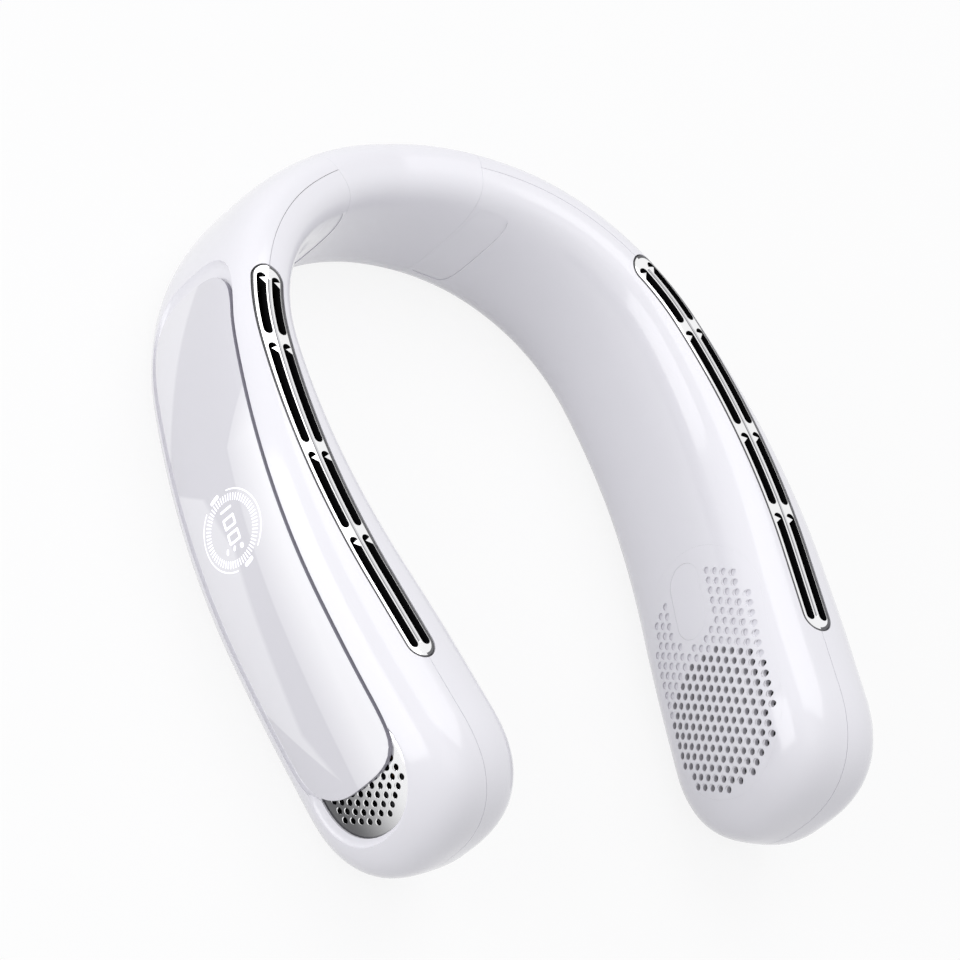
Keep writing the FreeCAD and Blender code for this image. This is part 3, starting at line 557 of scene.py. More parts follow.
def corner_curve(power: float, count: int) -> np.ndarray:
    """Points of a unit superellipse quarter, from (0, 1) to (1, 0).

    Args:
        power: Power of the superellipse, 2 for a circle.
        count: Number of steps.

    Returns:
        count + 1 points.
    """
    angle = np.linspace(math.pi / 2.0, 0.0, 400)
    dense = np.abs(np.stack([np.cos(angle), np.sin(angle)], axis=-1)) ** (2.0 / power)
    return even_curve(dense, count)


def section_ring(quarter_steps: int = 16) -> np.ndarray:
    """The unit ring of the body's section.

    Args:
        quarter_steps: Steps in a quarter of the ring.

    Returns:
        Points round the ring, without a repeated end.
    """
    quarter = corner_curve(FORM.power, quarter_steps)
    back = quarter[::-1]
    return np.concatenate([quarter[:-1], back[:-1] * (1, -1), quarter[:-1] * (-1, -1), back[:-1] * (-1, 1)])


def rounded_end(run: float, edge: float, degrees: float, ring: np.ndarray, inset: float = 0.0) -> np.ndarray:
    """A section on the rounded end of a sweep.

    Args:
        run: Run of the end.
        edge: Radius of the rounding, negative where the sweep lies before its end.
        degrees: Turn round the rounding, 90 on the end itself.
        ring: Points of the unit superellipse.
        inset: Distance inside the skin before the rounding.

    Returns:
        The section's points in metres.
    """
    turn = math.radians(degrees)
    return FORM.section(run + edge * (1.0 - math.sin(turn)), ring, inset + abs(edge) * (1.0 - math.cos(turn)))


# ---------------------------------------------------------------- outlines on the skin


@dataclass
class Outline:
    """A rounded outline on one side of the body, with the middle line that its rings close onto.

    Places are flat: run and height, or run and offset on the top.
    """

    side: Side
    rim: np.ndarray
    middle: np.ndarray

    @classmethod
    def pill(cls, side: Side, start: float, end: float, top: Callable[[np.ndarray], np.ndarray],
             low: Callable[[np.ndarray], np.ndarray], rear: float, front: float,
             powers: Sequence[float] = (2.0, 2.0, 2.0, 2.0), step: float = 2.6,
             round_steps: int = 10) -> "Outline":
        """Draws two long edges that are joined by rounded ends.

        Args:
            side: Side of the arm.
            start: Run where the long edges start.
            end: Run where they end.
            top: Upper edge over the run.
            low: Lower edge over the run.
            rear: Reach of the rear end before the start.
            front: Reach of the front end past the end.
            powers: Roundness of the rear top, front top, front low and rear low corners.
            step: Spacing along the edges.
            round_steps: Steps in each corner.

        Returns:
            The outline.
        """
        steps = max(1, round((end - start) / step))
        runs = np.linspace(start, end, steps + 1) if end > start else np.array([start])
        mid = (top(runs) + low(runs)) / 2.0
        rise = (top(runs) - low(runs)) / 2.0
        rear_top, front_top, front_low, rear_low = (corner_curve(power, round_steps) for power in powers)
        ends = [np.array([runs[-1], mid[-1]]), np.array([runs[0], mid[0]])]
        edges = [
            np.stack([runs, top(runs)], axis=-1),
            ends[0] + front_top[1:] * (front, rise[-1]),
            ends[0] + front_low[::-1][1:-1] * (front, -rise[-1]),
            np.stack([runs, low(runs)], axis=-1)[::-1],
            ends[1] + rear_low[1:] * (-rear, -rise[0]),
            ends[1] + rear_top[::-1][1:-1] * (-rear, rise[0]),
        ]
        line = np.stack([runs, mid], axis=-1)
        middles = [line, np.tile(ends[0], (2 * round_steps - 1, 1)), line[::-1],
                   np.tile(ends[1], (2 * round_steps - 1, 1))]
        return cls(side, np.concatenate(edges), np.concatenate(middles))

    @classmethod
    def band(cls, side: Side, start: float, end: float, middle: float, half: float, **shape: object) -> "Outline":
        """Draws a straight band with ends that reach half its width past its edges.

        Args:
            side: Side of the arm.
            start: Run where the long edges start.
            end: Run where they end.
            middle: Height or offset of the band's middle.
            half: Half width of the band.
            shape: Powers, step and round steps of the outline.

        Returns:
            The outline.
        """
        return cls.pill(side, start, end, lambda run: 0.0 * run + middle + half,
                        lambda run: 0.0 * run + middle - half, half, half, **shape)

    @property
    def facing(self) -> np.ndarray:
        """Unit outward directions along the rim."""
        chord = np.roll(self.rim, -1, axis=0) - np.roll(self.rim, 1, axis=0)
        chord /= np.linalg.norm(chord, axis=1)[:, None]
        turn = self.rim[:, 0] * np.roll(self.rim[:, 1], -1) - np.roll(self.rim[:, 0], -1) * self.rim[:, 1]
        sign = 1.0 if turn.sum() > 0.0 else -1.0
        return sign * np.stack([chord[:, 1], -chord[:, 0]], axis=-1)

    def grown(self, by: "float | np.ndarray") -> np.ndarray:
        """The rim moved outwards by a distance, the same all round or one per point."""
        return self.rim + self.facing * (np.ones(len(self.rim)) * by)[:, None]

    def drawn_in(self, rim: np.ndarray, share: float) -> np.ndarray:
        """A rim drawn towards the middle line by a share, 1 being on the line."""
        return rim + share * (self.middle - rim)

    def lay(self, flat: np.ndarray, depth: float) -> np.ndarray:
        """Points of a ring laid under the skin."""
        return FORM.skin(self.side, flat, depth)


# ---------------------------------------------------------------- bench


class Bench:
    """Modelling steps on one object at a time."""

    SKIN_NEAR = 0.12
    SKIN_COSINE = 0.86

    @staticmethod
    def clear() -> None:
        """Leaves edit mode and deselects everything."""
        if bpy.context.object and bpy.context.object.mode != "OBJECT":
            bpy.ops.object.mode_set(mode="OBJECT")
        bpy.ops.object.select_all(action="DESELECT")

    @classmethod
    def pick(cls, obj: Piece) -> None:
        """Makes one object selected and active."""
        cls.clear()
        obj.select_set(True)
        bpy.context.view_layer.objects.active = obj

    @classmethod
    def loft(cls, name: str, rings: Sequence[np.ndarray]) -> Piece:
        """Raises a closed skin from a circle, one edge extrusion per ring.

        A ring that lies on a point or a line closes its end, and an open end is filled.

        Args:
            name: Name of the piece.
            rings: Points of each ring in metres, all of one count.

        Returns:
            The new object.
        """
        cls.clear()
        bpy.ops.mesh.primitive_circle_add(vertices=len(rings[0]), radius=1.0, fill_type="NOTHING")
        obj = bpy.context.object
        obj.name = obj.data.name = name
        bpy.ops.object.mode_set(mode="EDIT")
        bpy.ops.mesh.select_mode(type="VERT")
        bpy.ops.mesh.select_all(action="SELECT")
        mesh = bmesh.from_edit_mesh(obj.data)
        place = mesh.verts.layers.int.new("place")
        for index, vertex in enumerate(mesh.verts):
            vertex[place] = index
            vertex.co = rings[0][index]
        for ring in rings[1:]:
            bpy.ops.mesh.extrude_region_move()
            mesh = bmesh.from_edit_mesh(obj.data)
            place = mesh.verts.layers.int["place"]
            for vertex in mesh.verts:
                if vertex.select:
                    vertex.co = ring[vertex[place]]
        mesh.verts.layers.int.remove(place)
        bmesh.update_edit_mesh(obj.data)
        cls._close()
        return obj

    @classmethod
    def _close(cls) -> None:
        """Merges doubles, fills open ends and turns the faces outwards, then leaves edit mode."""
        bpy.ops.mesh.select_all(action="SELECT")
        bpy.ops.mesh.remove_doubles(threshold=WELD)
        bpy.ops.mesh.select_all(action="SELECT")
        bpy.ops.mesh.fill_holes(sides=0)
        bpy.ops.mesh.select_all(action="SELECT")
        bpy.ops.mesh.normals_make_consistent(inside=False)
        bpy.ops.object.mode_set(mode="OBJECT")

    @classmethod
    def carve(cls, obj: Piece, tool: Piece, cut: Cut = Cut.AWAY, keep: bool = False) -> None:
        """Cuts a piece with another shape.

        Args:
            obj: Piece to cut.
            tool: Cutting shape.
            cut: Whether the shape is taken away or what lies within it is kept.
            keep: Whether the cutting shape is used again.
        """
        cls.pick(obj)
        step = obj.modifiers.new("cut", "BOOLEAN")
        step.operation, step.solver, step.object = cut.value, "MANIFOLD", tool
        bpy.ops.object.modifier_apply(modifier=step.name)
        if not keep:
            cls.scrap(tool)

    @staticmethod
    def scrap(obj: Piece) -> None:
        """Removes a cutting shape and its mesh."""
        mesh = obj.data
        bpy.data.objects.remove(obj)
        bpy.data.meshes.remove(mesh)

    @staticmethod
    def copy(obj: Piece, name: str) -> Piece:
        """A copy of a piece with its own mesh."""
        twin = obj.copy()
        twin.data = obj.data.copy()
        twin.name = twin.data.name = name
        bpy.context.scene.collection.objects.link(twin)
        return twin

    @classmethod
    def mirrored(cls, obj: Piece, name: str) -> Piece:
        """Mirrors a piece of the right arm onto the left.

        Args:
            obj: Piece of the right arm.
            name: Name of the new piece.

        Returns:
            The mirrored copy, with its faces turned outwards.
        """
        twin = cls.copy(obj, name)
        twin.data.transform(Matrix.Scale(-1.0, 4, (1.0, 0.0, 0.0)))
        cls.pick(twin)
        bpy.ops.object.mode_set(mode="EDIT")
        cls._close()
        return twin

    @classmethod
    def join(cls, parts: Sequence[Piece], name: str) -> Piece:
        """Joins parts into one object.

        Args:
            parts: Objects to join.
            name: Name of the result.

        Returns:
            The joined object.
        """
        cls.clear()
        for part in parts:
            part.select_set(True)
        bpy.context.view_layer.objects.active = parts[0]
        bpy.ops.object.join()
        parts[0].name = parts[0].data.name = name
        return parts[0]

    @classmethod
    def set_out(cls, pattern: Piece, spots: np.ndarray, name: str) -> Piece:
        """Copies a shape to many places and joins the copies.

        Args:
            pattern: Shape modelled at the origin. It is used up.
            spots: Places in metres.
            name: Name of the result.

        Returns:
            The joined copies.
        """
        copies = []
        for index, spot in enumerate(spots):
            copy = cls.copy(pattern, f"{name}.{index}")
            copy.data.transform(Matrix.Translation(Vector(spot)))
            copies.append(copy)
        cls.scrap(pattern)
        return cls.join(copies, name)

    @staticmethod
    def _read(items: bpy.types.bpy_prop_collection, name: str, width: int = 3,
              kind: type = np.float32) -> np.ndarray:
        """Reads a property of all the items of a mesh.

        Args:
            items: Vertices, corners or faces.
            name: Name of the property.
            width: Numbers per item.
            kind: Kind of number.

        Returns:
            One row per item, or a plain list where the width is 1.
        """
        values = np.zeros(len(items) * width, kind)
        items.foreach_get(name, values)
        return values.reshape(-1, width) if width > 1 else values

    @classmethod
    def polish(cls, obj: Piece, angle: float = 30.0) -> None:
        """Smooths a piece, with the true directions of the body's skin where its faces lie on it.

        Args:
            obj: Piece to smooth.
            angle: Angle in degrees above which an edge stays sharp.
        """
        cls.pick(obj)
        bpy.ops.object.shade_smooth_by_angle(angle=math.radians(angle))
        mesh = obj.data
        directions = cls._read(mesh.corner_normals, "vector")
        slope, above = FORM.slope(cls._read(mesh.vertices, "co").astype(float))
        corner = cls._read(mesh.loops, "vertex_index", 1, np.int32)
        sizes = cls._read(mesh.polygons, "loop_total", 1, np.int32)
        owner = np.repeat(np.arange(len(sizes)), sizes)
        facing = cls._read(mesh.polygons, "normal")[owner]
        near = np.abs(above[corner]) < cls.SKIN_NEAR * MM
        fits = near & (np.einsum("ij,ij->i", slope[corner], facing) > cls.SKIN_COSINE)
        whole = np.bincount(owner, weights=fits, minlength=len(sizes)) >= sizes - 0.5
        on_skin = whole[owner]
        directions[on_skin] = slope[corner][on_skin]
        mesh.normals_split_custom_set(directions.tolist())

    @staticmethod
    def dress(obj: Piece, finishes: Sequence[Finish],
              choose: Optional[Callable[[Face], int]] = None) -> None:
        """Gives a piece its finishes.

        Args:
            obj: Piece to dress.
            finishes: Finishes for the piece's slots.
            choose: Slot for each face, where there are several.
        """
        obj.data.materials.clear()
        for finish in finishes:
            obj.data.materials.append(finish.material())
        for face in obj.data.polygons:
            face.material_index = choose(face) if choose else 0

    @staticmethod
    def skin_share(face: Face) -> float:
        """How squarely a face looks out of the body, 1 on the skin and 0 on a side wall."""
        slope, _ = FORM.slope(np.array([face.center[:]]))
        return float(np.dot(slope[0], face.normal))

    @classmethod
    def by_share(cls, *limits: float) -> Callable[[Face], int]:
        """Slots by how squarely a face looks out, one further for each limit that it isn't above."""
        def choose(face: Face) -> int:
            """Slot of one face."""
            share = cls.skin_share(face)
            return sum(share <= limit for limit in limits)
        return choose

    @staticmethod
    def settle(obj: Piece, body: str, slot: str, *nodes: str) -> None:
        """Hands a finished piece to the frame.

        Args:
            obj: Finished piece.
            body: Body that it moves with.
            slot: Not used.
            nodes: CAD nodes that it stands for.
        """
        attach(obj, body)
        if nodes:
            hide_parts(*nodes)
        LOG.info("%s: %d faces on %s", obj.name, len(obj.data.polygons), body)

    @classmethod
    def pair(cls, right: Piece, finishes: Sequence[Finish], slot: str, node: str,
             choose: Optional[Callable[[Face], int]] = None, angle: float = 30.0) -> None:
        """Mirrors a piece of the right arm onto the left, and finishes both.

        Args:
            right: Piece of the right arm, whose name starts with right.
            finishes: Finishes for the slots of both.
            slot: Passed on to settle, which does not use it.
            node: CAD node that each stands for, without its arm.
            choose: Slot for each face, where there are several.
            angle: Angle in degrees above which an edge stays sharp.
        """
        left = cls.mirrored(right, right.name.replace(Hand.RIGHT.value, Hand.LEFT.value, 1))
        for piece, hand in ((right, Hand.RIGHT), (left, Hand.LEFT)):
            cls.polish(piece, angle)
            cls.dress(piece, finishes, choose)
            cls.settle(piece, f"{hand.value}_arm", slot, f"{hand.value}_{node}")


BACK_SHARES = (1.0, 0.6, 0.25, 0.0)
RIM_STEPS = 3
PIN_SIDES = 14
PIN_OVER = 1.5
PIN_FLARE = 1.2
PIN_MOUTH = (-0.03, 0.2)
PIN_TIP = (0.8, 0.2)
WELL_OVER = 5.0
WELL_TOP_SHARES = (1.0, 0.5, 0.0)
WELL_FLOOR_SHARES = (0.0, 0.35, 0.7, 1.0)
LIP_STEPS = 10
LIP_SPREAD = 1.5
LIP_POWER = 6
LIP_OVERLAP = 0.02


def shield(name: str, outline: Outline, thickness: float, rim: float, face_steps: int = 8,
           sink: float = 0.0) -> Piece:
    """Raises a plate that follows the skin, with a rounded rim.

    Args:
        name: Name of the plate.
        outline: Outline of the plate.
        thickness: Thickness in millimetres.
        rim: Radius of the rounded rim.
        face_steps: Rings between the rim and the middle line.
        sink: Distance of the face under the skin.

    Returns:
        The plate.
    """
    back = sink + thickness
    rings = [outline.lay(outline.drawn_in(outline.rim, share), back) for share in BACK_SHARES]
    for step in range(RIM_STEPS + 1):
        turn = step / RIM_STEPS * math.pi / 2.0
        edge = outline.grown(-rim * (1.0 - math.cos(turn)))
        rings.append(outline.lay(edge, sink + rim * (1.0 - math.sin(turn))))
    top = outline.grown(-rim)
    for step in range(1, face_steps + 1):
        rings.append(outline.lay(outline.drawn_in(top, step / face_steps), sink))
    return Bench.loft(name, rings)


def pins(name: str, side: Side, run: float, flat: np.ndarray, radius: float, depth: float,
         sink: float = 0.0) -> Piece:
    """Raises cutting pins with a flared mouth, square to an arm's side.

    Args:
        name: Name of the shape.
        side: Side of the arm.
        run: Run at which the pins stand square to the plan line.
        flat: Flat places of the pins.
        radius: Radius of a pin.
        depth: Depth of each pin.
        sink: Distance of the drilled face under the skin.

    Returns:
        All the pins as one shape.
    """
    inward = FORM.outward(run) * (-1.0 if side is Side.OUTER else 1.0)
    ahead = Vector((inward.y, -inward.x, 0.0))
    stages = ((0.0, -PIN_OVER), (PIN_FLARE, -PIN_OVER), (PIN_FLARE, PIN_MOUTH[0]), (1.0, PIN_MOUTH[1]),
              (1.0, depth - PIN_TIP[1]), (PIN_TIP[0], depth), (0.0, depth))
    rings = []
    for share, sunk in stages:
        reach = radius * share
        rings.append(MM * np.stack([
            np.array(ahead * (reach * math.cos(angle)) + inward * sunk
                     + Vector((0.0, 0.0, reach * math.sin(angle))))
            for angle in np.linspace(0.0, 2.0 * math.pi, PIN_SIDES, endpoint=False)]))
    return Bench.set_out(Bench.loft("pin", rings), FORM.skin(side, flat, sink), name)


def lattice(pitch: float, reach: int, inside: Callable[[float, float], bool]) -> list[Pair]:
    """Places of a hexagonal lattice that a test accepts.

    Args:
        pitch: Spacing of the places.
        reach: Rows and columns to each side of the middle.
        inside: Whether a place ahead of the middle and above it is wanted.

    Returns:
        The accepted places, ahead and up.
    """
    spots = []
    for row in range(-reach, reach + 1):
        for column in range(-reach, reach + 1):
            ahead, up = (column + (row % 2) / 2.0) * pitch, row * pitch * math.sqrt(3.0) / 2.0
            if inside(ahead, up):
                spots.append((ahead, up))
    return spots


def well(name: str, outline: Outline, growth: "float | np.ndarray", depth: float,
         lip: "float | np.ndarray" = 0.0, lip_depth: float = 0.0) -> Piece:
    """Raises a cutting shape that stands over the skin and reaches under it, with a soft lip at its mouth.

    Args:
        name: Name of the shape.
        outline: Outline of what goes into the opening.
        growth: Clearance round the outline.
        depth: Depth of the floor.
        lip: Width of the lip.
        lip_depth: Depth of the lip's inner edge.

    Returns:
        The cutting shape.
    """
    mouth, wall = outline.grown(growth + lip), outline.grown(growth)
    rings = [outline.lay(outline.drawn_in(mouth, share), -WELL_OVER) for share in WELL_TOP_SHARES]
    if lip_depth:
        for step in range(LIP_STEPS + 1):
            share = (step / LIP_STEPS) ** LIP_SPREAD
            edge = outline.grown(growth + lip * (1.0 - share))
            sunk = lip_depth * (1.0 - (1.0 - share) ** LIP_POWER) - LIP_OVERLAP * (step == 0)
            rings.append(outline.lay(edge, sunk))
    rings += [outline.lay(outline.drawn_in(wall, share), depth) for share in WELL_FLOOR_SHARES]
    return Bench.loft(name, rings)


# ---------------------------------------------------------------- sub-assemblies


@dataclass
class NeckSleeve:
    """Soft sleeve behind the neck, as two halves, one on each side of the middle."""

    seam_run: float = 27.0
    wall: float = 3.0
    edge: float = 0.04
    edge_turns: Triple = (30.0, 60.0, 90.0)
    bend_from: float = 6.0
    bend_height: float = 25.0
    stations: int = 14

    def build(self) -> None:
        """Builds both halves, the left one mirrored from the right."""
        ring = section_ring()
        runs = np.linspace(0.0, self.seam_run - self.edge, self.stations)
        rings = [FORM.section(run, ring, 0.0) for run in runs]
        rings += [rounded_end(self.seam_run, -self.edge, turn, ring) for turn in self.edge_turns]
        rings += [FORM.section(run, ring, self.wall) for run in (self.seam_run, self.seam_run / 2.0, 0.0)]
        rings.append(FORM.section(0.0, ring, 0.0))
        right = Bench.loft("neck_sleeve_right_half", rings)
        left = Bench.mirrored(right, "neck_sleeve_left_half")
        for half, hand, sign in ((right, Hand.RIGHT, 1.0), (left, Hand.LEFT, -1.0)):
            Bench.polish(half)
            Bench.dress(half, [SLEEVE_SILICONE])
            ends = [FORM.point(np.array([run]), 0.0, self.bend_height)[0] * (sign, 1.0, 1.0)
                    for run in (self.bend_from, self.seam_run)]
            tuple(ends[0])
            tuple(ends[1])
            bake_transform(half)
            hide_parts("neck_sleeve")
            LOG.info("%s: %d faces, bends to the %s arm", half.name, len(half.data.polygons), hand.value)


@dataclass
class SideCover:
    """Glossy cover on an arm's outer side, and the recess that it lies in.

    The lip's widths are those at the rear, along the top, at the front and below.
    """

    start: float = 96.0
    end: float = 212.0
    rear: float = 16.2
    front: float = 16.9
    top_shares: Pair = (0.858, 0.815)
    low_shares: Pair = (0.16, 0.19)
    powers: tuple[float, ...] = (3.0, 4.0, 2.2, 3.0)
    thickness: float = 1.6
    rim: float = 0.25
    gap: float = 0.22
    top_gap: float = 1.05
    recess: float = 1.85
    lip_depth: float = 1.7
    lip_widths: tuple[float, ...] = (5.4, 0.1, 0.8, 2.2)
    edge_share: float = 0.45

    def outline(self) -> Outline:
        """The cover's outline on the outer skin."""
        def edge(shares: Pair) -> Callable[[np.ndarray], np.ndarray]:
            """Height of a long edge over the run, from its shares of the body's height."""
            return lambda run: FORM.height(run) * np.interp(run, (self.start, self.end), shares)
        return Outline.pill(Side.OUTER, self.start, self.end, edge(self.top_shares), edge(self.low_shares),
                            self.rear, self.front, powers=self.powers, round_steps=14)

    def lip(self) -> np.ndarray:
        """Width of the ledge at each point of the outline."""
        ahead, up = self.outline().facing.T
        return sum(width * np.clip(part, 0.0, 1.0) ** 2
                   for width, part in zip(self.lip_widths, (-ahead, up, ahead, -up)))

    def clearance(self) -> np.ndarray:
        """Width of the gap round the outline, open along the top and close elsewhere."""
        return self.gap + (self.top_gap - self.gap) * np.clip(self.outline().facing[:, 1], 0.0, 1.0) ** 3

    def recess_tool(self) -> Piece:
        """The shape that cuts the recess into the shell."""
        return well("recess_tool", self.outline(), self.clearance(), self.recess, self.lip(), self.lip_depth)

    def build(self) -> None:
        """Builds the cover of each arm."""
        right = shield("right_cover_panel", self.outline(), self.thickness, self.rim, face_steps=10)
        Bench.pair(right, [COVER_PAINTED_SHEEN, COVER_EDGE], "cover_gloss", "side_cover", Bench.by_share(self.edge_share))


@dataclass
class VentStrip:
    """Bright strip in an arm's top edge, with two rows of slots, and its seat.

    The profile is the depth of the face at each inset from its rim.
    """

    start: float = 80.0
    end: float = 206.646
    offset: float = 1.3
    half_width: float = 5.0
    thickness: float = 2.4
    seat_gap: float = 0.08
    seat_depth: float = 7.0
    slot_half_width: float = 1.4
    slot_depth: float = 6.0
    row_offset: float = 2.3
    slot_shares: tuple[float, ...] = (0.157, 0.251, 0.189, 0.279)
    gap_share: float = 0.0225
    painted_shade_widths: Pair = (0.6, 1.25)
    groove: float = 0.45
    wall_share: float = 0.35
    wall_inset: float = 0.1
    tongue: Triple = (0.7, 3.9, 1.9)
    tongue_sides: Pair = (-1.6, 0.45)
    tongue_depths: Pair = (-0.4, 8.0)
    sharp_angle: float = 40.0
    profile: tuple[Pair, ...] = (
        (0.0, 0.5), (0.55, 0.0), (1.2, 0.0), (2.4, 0.0), (3.6, 0.0), (4.55, 0.0), (4.7, 0.12))

    @staticmethod
    def _pill(start: float, end: float, offset: float, half_width: float) -> Outline:
        """A round-ended band along the arm's top."""
        return Outline.band(Side.TOP, start + half_width, end - half_width, offset, half_width, step=2.2)

    def outline(self) -> Outline:
        """The strip's outline on the top."""
        return self._pill(self.start, self.end, self.offset, self.half_width)

    def seat_tool(self) -> Piece:
        """The shape that cuts the strip's seat through both shells."""
        return well("strip_seat_tool", self.outline(), self.seat_gap, self.seat_depth)

    def _tongue(self, at: float, offset: float) -> Piece:
        """The small tongue that stays in a slot's rear end.

        Args:
            at: Run of the slot's rear tip.
            offset: Offset of the slot's middle.

        Returns:
            The shape that the slot's cutter leaves out.
        """
        near, far, tip = (at + run for run in self.tongue)
        wall, point = (offset + side * self.slot_half_width for side in self.tongue_sides)
        flat = np.array([(near, wall), (far, wall), (tip, point)])
        return Bench.loft("tongue", [FORM.skin(Side.TOP, flat, depth) for depth in self.tongue_depths])

    def _slots(self) -> list[Piece]:
        """The cutting shapes of the slots."""
        length = self.end - self.start
        spare = length * (1.0 - sum(self.slot_shares) - self.gap_share * (len(self.slot_shares) - 1))
        at, tools = self.start + spare / 2.0, []
        for share in self.slot_shares:
            for row in (-self.row_offset, self.row_offset):
                outline = self._pill(at, at + share * length, self.offset + row, self.slot_half_width)
                tool = well(f"slot_tool_{len(tools)}", outline, 0.0, self.slot_depth)
                Bench.carve(tool, self._tongue(at, self.offset + row))
                tools.append(tool)
            at += (share + self.gap_share) * length
        return tools

    def build(self) -> None:
        """Builds the strip of each arm."""
        outline = self.outline()
        back = [(share, self.thickness) for share in (1.0, 0.5, 0.0)]
        face = [(inset / self.half_width, depth) for inset, depth in self.profile]
        crest = [(1.0, self.profile[-1][1])]
        right = Bench.loft("right_vent_trim", [outline.lay(outline.drawn_in(outline.rim, share), depth)
                                               for share, depth in back + face + crest])
        for tool in self._slots():
            Bench.carve(right, tool)
        Bench.pair(right, [TRIM_CHROME, TRIM_RIM_PAINTED_SHADE, TRIM_GROOVE_PAINTED_SHADE, SLOT_PAINTED_SHADE], "bright_trim", "vent_strip",
                   self._finish_of, self.sharp_angle)

    def _finish_of(self, face: Face) -> int:
        """Finish of a face: painted dark shade on the rim, wider on the side that faces +X, painted grey shade in
        the middle groove, and painted black shade in the slots.

        Args:
            face: Face of the strip.

        Returns:
            The face's slot.
        """
        run, offset, _ = (float(value[0]) for value in FORM.locate(np.array([face.center[:]])))
        across = offset - self.offset
        beyond = max(0.0, self.start + self.half_width - run, run - self.end + self.half_width)
        inset = self.half_width - math.hypot(beyond, across)
        if Bench.skin_share(face) < self.wall_share and inset > self.wall_inset:
            return 3
        # Painted shade: the rim is painted dark over a wider band on the side that faces +X.
        if inset < self.painted_shade_widths[int(across * face.center.x > 0.0)]:
            return 1
        return 2 if abs(across) < self.groove and beyond == 0.0 else 0


@dataclass
class IntakeGrille:
    """Bright perforated sheet under the front end of a cover, and the flared bore that it lies in.

    The shares part the sheet's face, painted dark low down and bright high up as a painted reflection, the holes'
    bright mouths, and their walls, painted black as shade.
    """

    run: float = 225.046
    height: float = 31.2
    radius: float = 17.1
    low_corner: float = 2.3
    gap: float = 0.1
    sink: float = 1.7
    thickness: float = 0.9
    rim: float = 0.05
    pitch: float = 3.0
    rows: int = 6
    hole_radius: float = 0.93
    hole_depth: float = 4.0
    field_radius: float = 15.0
    bore_depth: float = 9.0
    lip: float = 1.2
    low_lip: float = 2.5
    lip_depth: float = 1.2
    shares: Pair = (0.9, 0.3)

    def outline(self) -> Outline:
        """The sheet's round outline."""
        return Outline.band(Side.OUTER, self.run, self.run, self.height, self.radius,
                            powers=(2.0, 2.0, self.low_corner, 2.0), round_steps=18)

    def bore_tool(self) -> Piece:
        """The shape that cuts the bore through the outer shell."""
        outline = self.outline()
        lip = self.lip + self.low_lip * np.clip(-outline.facing[:, 1], 0.0, 1.0)
        return well("bore_tool", outline, self.gap, self.bore_depth, lip, self.lip_depth)

    def build(self) -> None:
        """Builds the sheet of each arm."""
        right = shield("right_grille_sheet", self.outline(), self.thickness, self.rim, face_steps=9,
                       sink=self.sink)
        spots = lattice(self.pitch, self.rows, lambda ahead, up: math.hypot(ahead, up) < self.field_radius)
        flat = np.array(spots) + (self.run, self.height)
        Bench.carve(right, pins("grille_pins", Side.OUTER, self.run, flat, self.hole_radius, self.hole_depth,
                                self.sink))
        Bench.pair(right, [GRILLE_CHROME_PAINTED_REFLECTION, TRIM_CHROME, SLOT_PAINTED_SHADE], "bright_trim", "intake_grille",
                   Bench.by_share(*self.shares))


